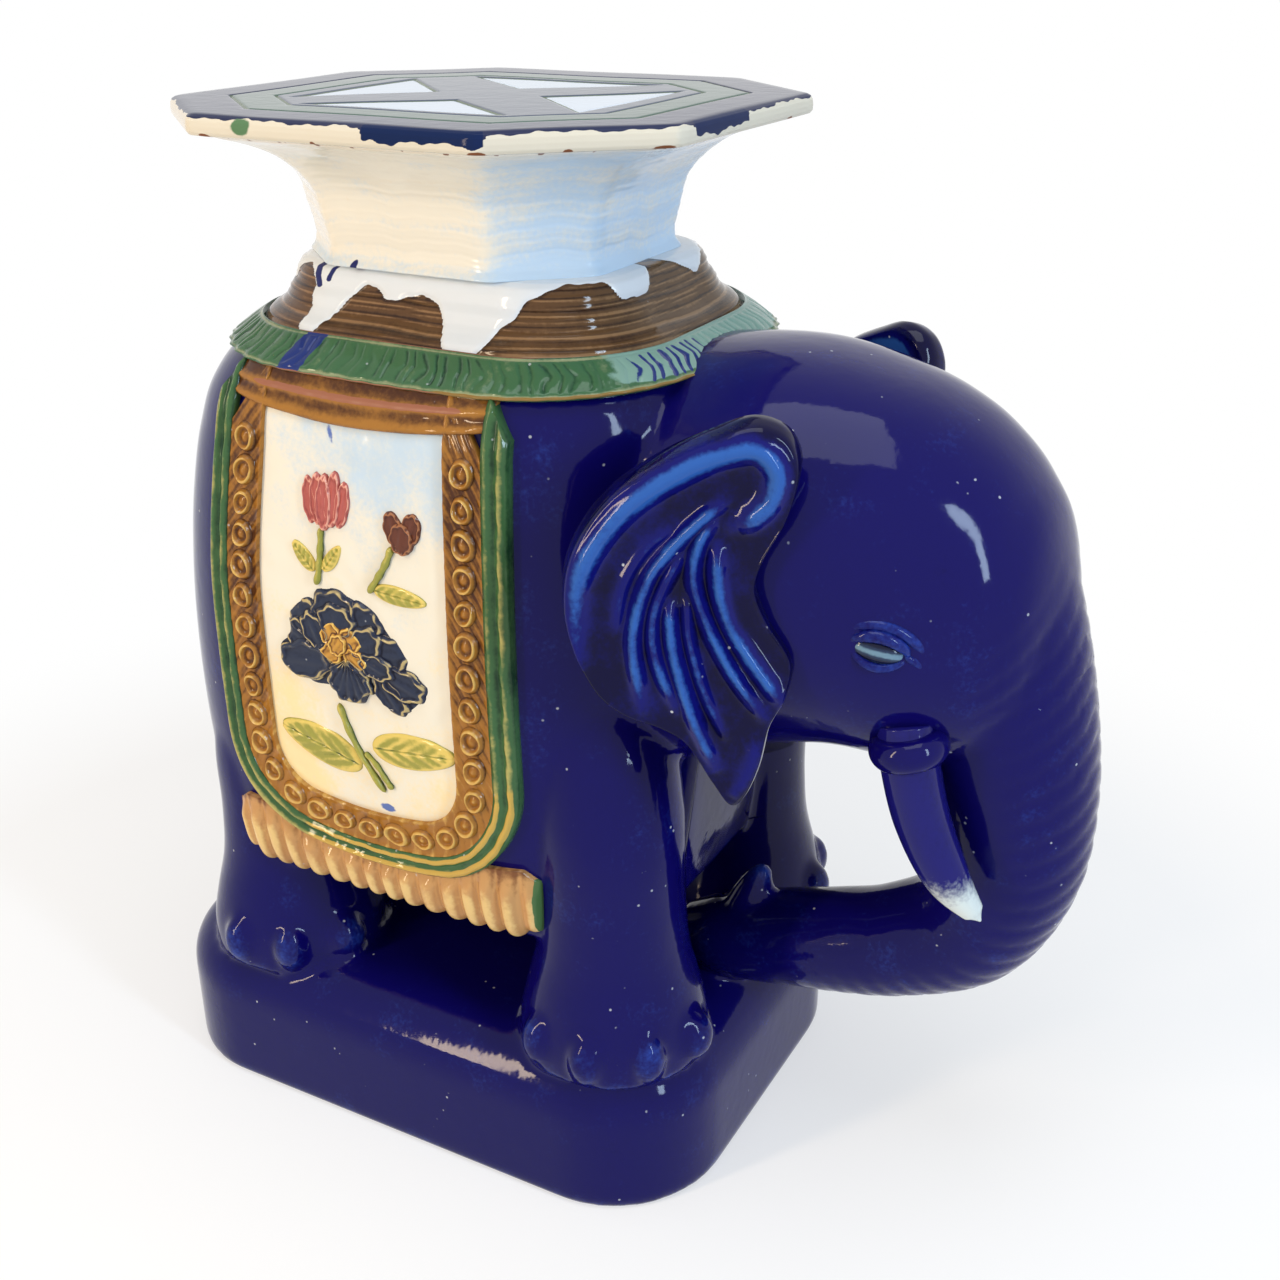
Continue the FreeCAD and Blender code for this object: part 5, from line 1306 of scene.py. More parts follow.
def wedge_distance(x, y):
    """How far inside the nearest of the four wedges a place lies, less than 0 outside."""
    inside = []
    for along, across, length, width in ((x, y, SEAT_HALF_LENGTH, SEAT_HALF_WIDTH),
                                         (y, x, SEAT_HALF_WIDTH, SEAT_HALF_LENGTH)):
        point, base, spread = WEDGE_POINT * length, WEDGE_BASE * length, WEDGE_SPREAD * width
        rate = spread / (base - point)
        flank = ((np.abs(along) - point) * rate - np.abs(across)) / math.hypot(rate, 1)
        inside.append(np.minimum(flank, base - np.abs(along)))
    return np.maximum(*inside)


print("a wedge is", round((WEDGE_BASE - WEDGE_POINT) * SEAT_HALF_LENGTH, 3), "m long")


# %% Seat slab with incised lines and white wedges
def slab(around=700):
    """The seat: the plan carried from the underside over a rounded rim and in over
    the top, row by row, closer together where lines are cut."""
    bottom, top = SLAB_TOP - SLAB_THICKNESS, SLAB_TOP
    first = SEAT_BAND_INSET + SEAT_LINE_WIDTH / 2
    second = first + SEAT_LINE_WIDTH + SEAT_BAND_WIDTH
    rim = [(0.05, bottom), (0.004, bottom), (0.0012, bottom + 0.0006), (0.0002, bottom + 0.002),
           (0.0, bottom + 0.0045), (0.0003, bottom + 0.007), (0.0012, bottom + 0.0088),
           (0.0028, bottom + 0.0097)]
    near = np.linspace(-0.002, 0.002, 11)
    rows = np.concatenate([[0.0045, 0.008, 0.014, 0.02, 0.025], first + near,
                           np.linspace(first + 0.004, second - 0.004, 5), second + near,
                           np.linspace(second + 0.003, 0.122, 68)])
    line = np.concatenate([along_line(np.array(rim[1:]), 40), [(row, top) for row in rows]])
    line = np.concatenate([[rim[0]], line])
    angles = circle(around)[None, :] + math.pi / around
    inset = line[:, :1]
    radius = octagon(angles, 1.0, np.minimum(inset, SHRINK_START), 150)
    shrink = (SHRINK_END - inset) / (SHRINK_END - SHRINK_START)
    radius = radius * np.where(inset > SHRINK_START, shrink, 1.0)
    x, y = radius * np.cos(angles), radius * np.sin(angles)
    z = line[:, 1:] + 0 * angles
    upper = (np.arange(len(line)) > 40)[:, None]
    away = side_distance(x, y)
    cut_lines = bell(away - first, 0.0009) + bell(away - second, 0.0009)
    inside = wedge_distance(x, y)
    cut_edge = bell(inside, 0.001)
    cut = np.where(upper, np.maximum(cut_lines, cut_edge), 0)
    wedge = np.where(upper, ease(inside, 0.0002, 0.0012), 0)
    uneven = np.where(upper, waves(x * 60 + y * 45, (0.0001, 1, 0)), 0)
    z = z - SEAT_LINE_DEPTH * cut - 0.0004 * wedge + uneven
    band = np.where(upper, ease(away, first, first + 0.001) * ease(-away, -second, -second + 0.001), 0)
    inner = np.where(upper, ease(away, second, second + 0.001), 0)
    degrees = np.degrees(np.arctan2(y, x))
    down = top - z
    drips = waves(degrees, (0.0008, 0.31, 0.0), (0.0007, 0.83, 1.0), (0.0004, 2.1, 0.4))
    blue_at = np.maximum.reduce([ease(-np.abs(degrees - middle), -half - 2, -half)
                                 for middle, half in RIM_RUNS])
    edge = 0.0013 + drips * 0.5 + 0.0045 * blue_at
    rim_white = np.where(upper, 0, ease(down - edge, -0.0002, 0.0004))
    blue = np.where(upper, 0, blue_at * ease(-(down - 0.0062 - drips), -0.0004, 0.0004))
    green = np.exp(-((degrees + 109.5) / 2.4) ** 2 - ((down - 0.0045) / 0.0042) ** 2) * ~upper
    low_edge = ((down - 0.0094) / 0.0014) ** 2
    chips = np.maximum.reduce([np.exp(-((degrees - middle) / half) ** 2 - low_edge)
                               for middle, half in RIM_CHIPS]) * ~upper
    return skin("seat_top_form", np.stack([x, y, z], axis=-1), {
        "thickness": 0.55 - 0.2 * inner, "green_band": band, "cross_band": inner, "white_wedge": wedge,
        "incised_line": cut, "rim_white": rim_white, "blue_run": blue,
        "green_spot": green, "bare_clay": chips})


slab_glaze = glaze(
    "slab_glaze", (0.2, 0.24, 0.3), (0.03, 0.036, 0.082), (0.02, 0.02, 0.06),
    layers=(("green_band", (0.085, 0.14, 0.115), 0.3, 0.0), ("cross_band", (0.085, 0.105, 0.15), 0.2, 0.0),
            ("white_wedge", (0.62, 0.7, 0.8), 0.2, 0.0), ("incised_line", (0.13, 0.17, 0.11), 0.5, 0.15),
            ("rim_white", (0.66, 0.61, 0.5), 0.3, 0.0), ("blue_run", (0.009, 0.02, 0.075), 0.3, 0.0),
            ("green_spot", (0.1, 0.2, 0.1), 0.6, 0.0), ("bare_clay", (0.2, 0.075, 0.035), 0.7, 0.35)),
    specks=0.25, shine=0.05)
finish_piece(slab(), slab_glaze, "seat_glaze", "seat_slab")
print("seat rows and wedges cut", SEAT_LINE_DEPTH, "m deep")

# %% [markdown]
# The cloth on each side is moulded clay laid over the barrel. Each of its pieces is
# drawn flat, as places along and up the side with a height above the clay, and then
# laid on the barrel by one formula, so all of them follow the same curve. Straps
# run along the cloth's edge line; leaves and petals are closed outlines. Where the
# height is above its surroundings the glaze is made thin.
# %% Sizes of the cloth
CLOTH_SHIFT = 0.0115
CLOTH_TOP = BACK - 0.018
PANEL_HALF_WIDTH = 0.0585
PANEL_CORNER = 0.03
PANEL_SWEEP = 0.2
PANEL_FOOT = CLOTH_TOP - 0.215
CLOTH_LEAN = 0.012
BORDER_WIDTH = 0.021
RIM_WIDTH = 0.012
UNDER_CLAY = -0.003
sweep_middle = PANEL_FOOT + PANEL_SWEEP
knee = sweep_middle - math.sqrt((PANEL_SWEEP - PANEL_CORNER) ** 2 - (PANEL_HALF_WIDTH - PANEL_CORNER) ** 2)
knee_lean = math.atan2(PANEL_HALF_WIDTH - PANEL_CORNER, sweep_middle - knee)
print("cloth from", round(PANEL_FOOT, 4), "up to", round(CLOTH_TOP, 4))


# %% The cloth's edge line and the side of the barrel
def cloth_line(run, offset):
    """The place at a signed run from the middle of the lower edge, on the edge line
    grown by an offset: along the sweep, round the corner and up the straight side."""
    side = np.where(run < 0, -1.0, 1.0)
    along = np.abs(run)
    swept = (PANEL_SWEEP + offset) * knee_lean
    bend = (PANEL_CORNER + offset) * (math.pi / 2 - knee_lean)
    turned = knee_lean + (along - swept) / (PANEL_CORNER + offset)
    angle = np.where(along < swept, along / (PANEL_SWEEP + offset), np.minimum(turned, math.pi / 2))
    on_sweep = along < swept
    radius = np.where(on_sweep, PANEL_SWEEP, PANEL_CORNER) + offset
    x = np.where(on_sweep, 0.0, PANEL_HALF_WIDTH - PANEL_CORNER) + radius * np.sin(angle)
    z = np.where(on_sweep, sweep_middle, knee) - radius * np.cos(angle) + np.maximum(along - swept - bend, 0)
    return np.stack([side * x - CLOTH_SHIFT, z], axis=-1)


def half_run(offset, top):
    """How long the edge line is from the middle of its lower edge up to a height."""
    return ((PANEL_SWEEP + offset) * knee_lean + (PANEL_CORNER + offset) * (math.pi / 2 - knee_lean)
            + top - knee)


def side_reach(x, z, out):
    """How far the barrel's side is from the middle plane at a place, grown outwards."""
    share = np.clip((z - BELLY) / (BACK - BELLY), 0, 1)
    rear, front, width, corner = np.moveaxis(smooth(BARREL[:, 0], BARREL[:, 1:], share), -1, 0)
    radius = BODY_CORNER * corner + out
    ahead = x - (hull_high[0] * front + out - radius)
    behind = -x - (-hull_low[0] * rear + out - radius)
    over = np.clip(np.maximum(ahead, behind), 0, radius * 0.98)
    return -hull_low[1] * width + out - radius + np.sqrt(radius ** 2 - over ** 2)


def on_side(flat, height, hand):
    """Flat places with heights laid on the barrel's side. The cloth's rear edge
    leans forward towards its top."""
    x, z = flat[..., 0], flat[..., 1]
    x = x + CLOTH_LEAN * ease(z, 0.32, 0.44) * ease(-x, 0.0, PANEL_HALF_WIDTH)
    y = side_reach(x, z, height)
    return np.stack([x, y if hand == "left" else -y, z + 0 * y], axis=-1)


print("side of the barrel at the cloth's foot:", float(side_reach(0.0, PANEL_FOOT, 0.0).round(4)))


# %% Raised pieces on the barrel
def hidden_steps(count):
    """A few steps of a raised face, from the last back to the first: nobody sees the
    face below the clay, and on the round barrel straight stretches only lie deeper."""
    return np.linspace(count - 1, 0, max(2, count // 12)).round().astype(int)


def relief(flat, height, hand, axis=0):
    """A raised face, then the face below the clay: as rings from a middle out and
    back in, or with axis 1 as rings across a strap."""
    hidden = np.take(flat, hidden_steps(flat.shape[axis]), axis)
    below = on_side(hidden, np.full(hidden.shape[:2], UNDER_CLAY), hand)
    return np.concatenate([on_side(flat, height, hand), below], axis=axis)


def by_relief(height, reach, base=0.5):
    """Glaze thickness from a height grid: what stands above the mean of its
    surroundings is thin, what lies below it is deep."""
    mean = height
    for _ in range(5):
        padded = np.concatenate([mean[:1], mean, mean[-1:]])
        mean = (padded[:-2] + 2 * mean + padded[2:]) / 4
        mean = (np.roll(mean, 1, axis=1) + 2 * mean + np.roll(mean, -1, axis=1)) / 4
    return np.clip(base - (height - mean) / reach, 0, 1)


def both_faces(values, under=0.5, axis=0):
    """A mask of a raised face, with one value below it."""
    shape = list(values.shape)
    shape[axis] = len(hidden_steps(shape[axis]))
    return np.concatenate([values, np.full(shape, under)], axis=axis)


def group_skin(name, forms, masks):
    """Several closed skins in one mesh, each with its own masks."""
    item = joined_skin(forms)
    item.name = name
    for mask, values in masks.items():
        parts = [np.concatenate([part.reshape(-1), part.reshape(-1)[[0, -1]]]) for part in values]
        paint(item, mask, np.concatenate(parts))
    return item


print("raised pieces go", -UNDER_CLAY, "m into the clay below")

# %% [markdown]
# The white ground is a shallow dome, the honey border a strap with a lip on either
# edge, and the green rim two rolls of clay. Each could be a curve with a bevel, but a
# bevel can't follow the bulge of the barrel. A grid that runs along the edge line and
# across the strap can, and it gives the glaze its ridges and valleys as numbers.
# %% Panel
def panel(hand, around=260, rings=60):
    """The white ground: a shallow dome inside the edge line, with pooled glaze, painted
    warm light low down and towards the rear, and painted cool light at the top.
    """
    top = half_run(0.0, CLOTH_TOP)
    edge = cloth_line(np.linspace(-top, top, around - 60), 0.002)
    upper = np.stack([np.linspace(edge[-1, 0], edge[0, 0], 62)[1:-1], np.full(60, edge[0, 1])], axis=-1)
    outline = np.concatenate([edge, upper])
    middle = np.array((-CLOTH_SHIFT, PANEL_FOOT + 0.11))
    out = np.linspace(0.02, 1, rings)[:, None]
    flat = middle + (outline - middle) * out[..., None]
    x, z = flat[..., 0], flat[..., 1]
    pool = waves(x * 90 + 2 * np.sin(z * 55), (0.00025, 1, 0.4), (0.00018, 2.3, 1.0))
    pool = pool * np.sin(z * 120 + 3 * np.sin(x * 80))
    height = 0.003 - 0.0009 * out ** 6 + pool * ease(-out, -1.0, -0.9)
    # Painted warm light: low down and towards the rear the glaze is made thin, so it shows the peach thin
    # colour.
    warm = 0.75 * ease(-x, 0.03, 0.06) * ease(-z, -0.3, -0.26)
    warm += 0.5 * ease(-z, -0.3, -0.22) + 0.35 * ease(-x, 0.035, 0.07)
    # Painted cool light: at the top the glaze is made deep, so it shows the pale blue deep colour.
    cool = ease(z, 0.33, 0.425) * (0.62 + 0.35 * ease(x, -0.05, 0.02))
    smear = np.exp(-((x + 0.022 + 0.4 * (z - 0.415)) / 0.004) ** 2 - ((z - 0.417) / 0.008) ** 2) * 0.62
    smear += np.exp(-((x - 0.001) / 0.006) ** 2 - ((z - PANEL_FOOT - 0.005) / 0.003) ** 2) * 0.9
    thickness = np.clip(0.5 - 0.42 * np.clip(warm, 0, 1) + 0.5 * cool, 0, 1)
    return skin("cloth_ground_" + hand, relief(flat, height, hand), {
        "thickness": both_faces(thickness), "blue_run": both_faces(smear, 0.0)})


# The peach thin colour and the pale blue deep colour show mostly where the painted warm light and the
# painted cool light make the glaze thin and deep.
panel_white = glaze(
    "panel_white", (0.84, 0.68, 0.38), (0.76, 0.72, 0.61), (0.5, 0.62, 0.73),
    layers=(("blue_run", (0.1, 0.16, 0.42), 0.6, 0.0),), mottle=0.8, specks=0.2)
finish_pair(panel, panel_white, "cloth_ground", "cloth_panel")
print("cloth edge line", round(2 * half_run(0.0, CLOTH_TOP), 3), "m long")

# %% Border
BAR_HALF_LENGTH = 0.0825


def border(hand):
    """The honey strap with a raised lip on either edge, and the plain strip that
    closes it above the panel."""
    edge = half_run(BORDER_WIDTH / 2, CLOTH_TOP + 0.003)
    runs = np.linspace(-edge, edge, 420)
    share = np.linspace(0, 1, 22)
    offsets = BORDER_WIDTH * share
    lip = bell(share, 0.09) + 0.8 * bell(share - 1, 0.08)
    dent = waves(runs[:, None] * 700 + 3 * share, (0.00012, 0.9, 0.0), (0.00008, 2.1, 1.0))
    height = 0.0036 + 0.001 * lip + dent
    flat = cloth_line(runs[:, None] + 0 * offsets[None, :], offsets[None, :])
    shade = 0.62 + 0.22 * (1 - lip) - 0.3 * ease(flat[..., 1], 0.33, 0.22) - dent * 900
    across = np.linspace(-1, 1, 160)[:, None] * BAR_HALF_LENGTH
    up = np.linspace(0, 1, 20)[None, :]
    low = CLOTH_TOP - 0.0068 + 0.0075 * (across / BAR_HALF_LENGTH) ** 2
    bar = np.stack([across + 0 * up - CLOTH_SHIFT, low + up * (BACK - 0.0006 - low)], axis=-1)
    rolls = bell(up - 0.1, 0.11) + 1.2 * bell(up - 0.5, 0.1)
    bar_height = 0.0034 + 0.0015 * rolls
    bar_height = bar_height + waves(across * 190 + 3 * up, (0.0001, 1, 0.0), (0.00006, 2.7, 1.0))
    bare = bell(up - 0.52, 0.075) * patch(across * 12, 0, 40, 12)
    forms = [relief(flat, height, hand, 1), relief(bar, bar_height, hand, 1)]
    shades = [both_faces(np.clip(shade, 0, 1), 0.5, 1), both_faces(0.92 - 0.35 * rolls + 0 * across, 0.5, 1)]
    clay = [np.zeros(shades[0].shape), both_faces(bare, 0.0, 1)]
    return group_skin("cloth_strap_" + hand, forms, {"thickness": shades, "bare_clay": clay})


honey = glaze(
    "honey", (0.62, 0.38, 0.1), (0.34, 0.15, 0.025), (0.07, 0.024, 0.008),
    layers=(("bare_clay", (0.3, 0.115, 0.065), 0.5, 0.25),), mottle=0.7)
finish_pair(border, honey, "border_glaze", "cloth_border")
print("border", BORDER_WIDTH, "m wide")


# %% Rim
def rim(hand):
    """The green rim: two rolls with a valley between them."""
    edge = half_run(BORDER_WIDTH, CLOTH_TOP + 0.0165)
    runs = np.linspace(-edge, edge, 460)
    share = np.linspace(0, 1, 34)[None, :]
    offsets = BORDER_WIDTH - 0.0005 + (RIM_WIDTH + 0.001) * share[0]
    uneven = waves(runs[:, None] * 1000, (0.05, 0.21, 0.0), (0.04, 0.47, 1.2))
    rolls = bell(share - 0.22 - uneven * 0.3, 0.17)
    rolls = rolls + 1.15 * bell(share - 0.76 + uneven * 0.3, 0.18)
    height = (0.0042 + 0.0024 * rolls * (1 + uneven)) * ease(-share, -1.12, -0.97)
    flat = cloth_line(runs[:, None] + 0 * share, offsets[None, :])
    low = ease(-flat[..., 1], -0.285, -0.215)
    thickness = np.clip(0.98 - 0.62 * rolls - 0.2 * low, 0, 1)
    gold = 0.9 * low * ease(rolls, 0.35, 0.9) * ease(flat[..., 0], -0.07, -0.04)
    return skin("cloth_moulding_" + hand, relief(flat, height, hand, 1), {
        "thickness": both_faces(thickness, 0.5, 1), "gold": both_faces(gold, 0.0, 1)})


rim_green = glaze(
    "rim_green", (0.42, 0.36, 0.11), (0.05, 0.125, 0.045), (0.01, 0.04, 0.018),
    layers=(("gold", (0.52, 0.34, 0.07), 0.6, 0.0),), mottle=0.9)
finish_pair(rim, rim_green, "rim_glaze", "cloth_rim")
print("rim", RIM_WIDTH, "m wide")

# %% [markdown]
# The beads are small rings of clay with a drop in the middle, stamped one by one, so
# no two are quite alike. An array modifier along a curve would make them all the
# same. Here a loop steps along the border's middle line and gives each bead its own
# swell and lean from a sine of its number, which looks made by hand and never
# changes from one run to the next.
# %% Beads on the border
BEAD_PITCH = 0.017
BEAD_RADIUS = 0.0076


def border_beads(hand, around=44, rings=16):
    """Oval rings with a boss in the middle, at equal steps along the border."""
    offset = BORDER_WIDTH / 2
    count = int(half_run(offset, CLOTH_TOP) / BEAD_PITCH)
    angles = circle(around)[None, :]
    out = np.linspace(0.04, 1, rings)[:, None]
    forms = []
    shades = []
    for number in range(-count, count + 1):
        run = number * BEAD_PITCH
        place = cloth_line(np.array(run), offset)
        ahead = cloth_line(np.array(run + 0.001), offset) - place
        ahead /= np.linalg.norm(ahead)
        side = np.array((-ahead[1], ahead[0]))
        if place[1] > CLOTH_TOP - BEAD_RADIUS:
            continue
        swell = 1 + 0.08 * math.sin(number * 2.1)
        lean = 0.12 * math.sin(number * 1.3)
        flat = place + out[..., None] * BEAD_RADIUS * swell * (
            ahead * np.cos(angles + lean)[..., None] * 1.02 + side * np.sin(angles)[..., None] * 0.86)
        ring = bell(out - 0.74, 0.15) * (1 + 0.25 * np.cos(2 * angles + number))
        boss = 0.62 * bell(out, 0.33)
        height = 0.004 + 0.0026 * (ring + boss) * ease(-out, -1.02, -0.86)
        forms.append(relief(flat, height, hand))
        low = float(ease(np.array(-place[1]), -0.3, -0.22))
        shades.append(both_faces(np.clip(1.0 - 0.18 * low - 0.85 * (ring + 1.1 * boss), 0, 1)))
    return group_skin("ring_beads_" + hand, forms, {"thickness": shades})


finish_pair(border_beads, honey, "border_glaze", "border_beads")
print("bead pitch", BEAD_PITCH)

# %% [markdown]
# The fringe hangs below the rim as a row of fluted lobes, pressed in a mould and
# trimmed by hand. Hair strands would suit cloth; this fringe is clay, so it is one
# more grid: across it runs a wave that gives the lobes, down it the flutes grow and
# end in scallops.
# %% Fringe
FRINGE_LOBE = 0.0128
FRINGE_TIP = BELLY + 0.0015
FRINGE_OVERLAP = 0.0015


def fringe(hand):
    """The hanging fringe: fluted lobes that grow wider downwards and end in
    scallops, drawn straight down from the rim's lower edge."""
    inner = BORDER_WIDTH + RIM_WIDTH
    reach = PANEL_HALF_WIDTH + inner + 0.006
    across = np.linspace(-1, 1, 420)[:, None]
    x = across * reach
    share = np.linspace(0, 1, 44)[None, :]
    corner_x = np.clip(np.abs(x) - (PANEL_HALF_WIDTH - PANEL_CORNER), 0, None)
    radius = PANEL_CORNER + inner - FRINGE_OVERLAP
    bent = knee - np.sqrt(np.clip(radius ** 2 - np.clip(corner_x, 0, radius * 0.985) ** 2, 0, None))
    swept = sweep_middle - np.sqrt((PANEL_SWEEP + inner - FRINGE_OVERLAP) ** 2 - x ** 2)
    top = np.where(np.abs(x) < (PANEL_SWEEP + inner) * math.sin(knee_lean), swept, bent)
    top = np.minimum(top, BELLY + 0.046 - 0.006 * ease(np.abs(x), reach * 0.9, reach))
    lobes = x / FRINGE_LOBE + 0.1 * np.sin(x * 90)
    rib = np.abs(np.sin(lobes * math.pi)) ** 0.7
    tip = FRINGE_TIP + 0.004 * (1 - rib) + 0.006 * ease(np.abs(x), reach * 0.86, reach)
    z = top + (tip - top) * share
    end = np.sqrt(np.clip(1 - np.abs(across) ** 24, 0, 1))
    round_off = np.sqrt(np.clip(1 - share ** 8, 0, 1))
    flutes = 0.5 + 0.5 * np.cos(lobes * 4 * math.pi + 1.5 * np.sin(lobes * 2 * math.pi))
    height = 0.0035 + 0.004 * rib * ease(share, 0.0, 0.35) + 0.0007 * flutes * ease(share, 0.1, 0.3)
    height = np.maximum(height * round_off * end, 0.0005)
    flat = np.stack([x + 0 * z - CLOTH_SHIFT, z], axis=-1)
    thickness = 0.72 - 0.42 * rib * ease(share, 0.1, 0.5) - 0.2 * flutes + 0.25 * ease(-share, -0.12, 0.0)
    wash = ease(across, 0.955, 0.985) + 0 * share
    return skin("hanging_fringe_" + hand, relief(flat, height, hand, 1), {
        "thickness": both_faces(np.clip(thickness, 0, 1), 0.5, 1), "green_wash": both_faces(wash, 0.0, 1)})


# The body colour is partly the glaze's own ochre and partly painted warm reflection: it is made lighter over
# the whole fringe.
fringe_ochre = glaze(
    "fringe_ochre", (0.72, 0.5, 0.2), (0.52, 0.28, 0.105), (0.18, 0.07, 0.026),
    layers=(("green_wash", (0.07, 0.15, 0.05), 0.6, 0.0),), mottle=0.9)
finish_pair(fringe, fringe_ochre, "fringe_glaze", "cloth_fringe")
print("fringe ends at", round(FRINGE_TIP, 4))

# %% [markdown]
# The flowers are modelled in low relief: petals and leaves lie over one another
# like tiles. They could be sculpted, but as heights over a flat plan they stay easy
# to change. Each petal is an ellipse with a cupped face and a raised lip, and where
# petals overlap the highest one counts. The glaze runs off the lips and pools in the
# folds, which draws every petal. The plans are in millimetres from the cloth's middle
# and from the floor.
# %% Petals and leaves as heights
FLOWER_LIFT = 2.6
PANEL_FACE = 0.0022


def petal_height(flat, place, turn, length, width, lift, flutes=0.0):
    """The height of one petal: a cupped ellipse with a lip, its middle at a place
    in millimetres, its long axis turned by degrees; less than 0 outside it."""
    x = flat[..., 0] - place[0] / 1000
    z = flat[..., 1] - place[1] / 1000
    c, s = math.cos(math.radians(turn)), math.sin(math.radians(turn))
    along = (x * c + z * s) * 1000 / length
    across = (z * c - x * s) * 1000 / width
    ruffle = 1 + 0.07 * np.sin(7 * np.arctan2(across, along) + place[0])
    out = np.sqrt(along ** 2 + across ** 2) / ruffle
    dome = np.sqrt(np.clip(1 - out ** 4, 0, 1))
    lip = bell(out - 0.84, 0.1)
    fold = 0.5 + 0.5 * np.cos(across * 9 + 2 * along)
    comb = 0.5 + 0.5 * np.cos(np.arctan2(across, along + 1.1) * 26)
    face = (FLOWER_LIFT + lift + 0.8 * dome + 0.95 * lip + 0.5 * fold * (1 - out)
            + flutes * comb * out) / 1000
    return np.where(out < 1, face, -1)


def leaf_height(flat, first, last, width, lift):
    """The height of a leaf between two places in millimetres: pointed at both ends,
    with a sunk midrib and slanted veins."""
    start, end = np.array(first) / 1000, np.array(last) / 1000
    run = end - start
    length = np.linalg.norm(run)
    run = run / length
    place = flat - start
    along = (place @ run) / length
    across = (place[..., 0] * -run[1] + place[..., 1] * run[0]) * 1000
    half = width * np.sqrt(np.clip(4 * along * (1 - along), 0, 1)) * (1.1 - 0.3 * along)
    out = np.abs(across) / np.maximum(half, 1e-3)
    rib = bell(across, 0.55)
    vein = 0.5 + 0.5 * np.cos(along * 34 - np.abs(across) * 1.1)
    face = (FLOWER_LIFT + lift + 1.2 * np.sqrt(np.clip(1 - out ** 3, 0, 1)) - 0.6 * rib
            + 0.45 * vein * (1 - out)) / 1000
    return np.where((out < 1) & (along > 0) & (along < 1), face, -1)


def rounded_edge(height):
    """The height of rings, brought down to the panel at the outline's last rings."""
    fall = ease(-np.linspace(0, 1, len(height)), -1.0, -0.9)[:, None]
    return PANEL_FACE + (height - PANEL_FACE) * np.sqrt(fall)


petal_top = petal_height(np.zeros((1, 2)), (0, 0), 0, 10, 5, 0.0)[0]
print("a petal's middle stands", round(float(petal_top), 4), "m out")


# %% Flat rings over petals and leaves
def disc(outline, middle, around, rings):
    """Flat rings from a middle out to an outline, both given in millimetres."""
    outline = closed_curve(np.array(outline) / 1000, around)
    out = np.linspace(0.02, 1, rings)[:, None, None]
    return np.array(middle) / 1000 + (outline - np.array(middle) / 1000) * out


def petal_disc(place, turn, length, width, around=96, rings=26):
    """Flat rings over one petal's ellipse."""
    angles = circle(around)[None, :]
    out = np.linspace(0.03, 1, rings)[:, None]
    c, s = math.cos(math.radians(turn)), math.sin(math.radians(turn))
    along, across = length * out * np.cos(angles), width * out * np.sin(angles)
    return np.stack([place[0] + along * c - across * s, place[1] + along * s + across * c], axis=-1) / 1000


def leaf_disc(first, last, width, around=110, rings=20):
    """Flat rings over one leaf."""
    share = 0.5 - 0.5 * np.cos(circle(around))
    half = width * np.sqrt(np.clip(4 * share * (1 - share), 0, 1)) * (1.1 - 0.3 * share)
    side = np.where(circle(around) < math.pi, 1.0, -1.0)
    start, end = np.array(first, float), np.array(last, float)
    run = (end - start) / np.linalg.norm(end - start)
    outline = start + (end - start) * share[:, None] + np.array((-run[1], run[0])) * (side * half)[:, None]
    middle = (start + end) / 2
    return (middle + (outline - middle) * np.linspace(0.03, 1, rings)[:, None, None]) / 1000


def relief_skin(name, flats, tops, hand, reach=0.00042):
    """Several relief leaves in one mesh, their glaze thin on what stands out."""
    forms = [relief(flat, top, hand) for flat, top in zip(flats, tops)]
    shades = [both_faces(by_relief(top, reach, 0.62)) for top in tops]
    return group_skin(name, forms, {"thickness": shades})


print("rings and points over a petal:", petal_disc((0, 0), 0, 10, 5).shape[:2])

# %% Tables of the peony
# Each petal: its middle, the turn of its long axis in degrees, half length and half
# width, how high it lies over the panel, and how deep its flutes are
PEONY_OUTLINE = (
    (-44, 328), (-33, 337), (-16, 338), (3, 330), (14, 319), (24, 306), (33, 296), (29, 284),
    (17, 275), (7, 279), (-2, 284), (-8, 277), (-21, 276), (-28, 281), (-42, 281), (-58, 288),
    (-61, 299), (-53, 308), (-52, 319),
)
PEONY_PETALS = (
    ((-40, 318), 135, 15, 11, 0.6), ((-22, 325), 95, 13, 15, 0.8),
    ((-5, 321), 50, 13, 12, 0.6), ((9, 308), 15, 15, 10, 0.8),
    ((18, 294), -12, 15, 9, 1.4), ((10, 286), -48, 13, 8, 1.0),
    ((-43, 295), 192, 18, 11, 1.8), ((-46, 309), 165, 10, 9, 0.9),
    ((-34, 313), 125, 11, 8, 2.0), ((-20, 321), 85, 9, 12, 2.0),
    ((-3, 312), 35, 11, 9, 2.1), ((3, 301), -12, 11, 7, 2.5),
    ((-14, 289), -90, 12, 13.5, 2.6, 0.9),
)
HEART_OUTLINE = ((-33, 308), (-27, 319), (-14, 321), (-4, 312), (-1, 301), (-8, 296), (-20, 297), (-29, 300))
HEART_PETALS = (
    ((-24, 314), 120, 8, 7, 2.5), ((-11, 313), 40, 9, 7, 2.5), ((-9, 302), -30, 8, 6, 2.7),
    ((-24, 303), 215, 8, 6, 2.7), ((-19, 309), 60, 6.5, 5.5, 3.6),
)
print("peony petals:", len(PEONY_PETALS), "in the heart:", len(HEART_PETALS))


# %% Peony
def heights(flat, petals, base):
    """The highest of several petals at each place."""
    return np.maximum.reduce([petal_height(flat, *petal) for petal in petals]).clip(base)


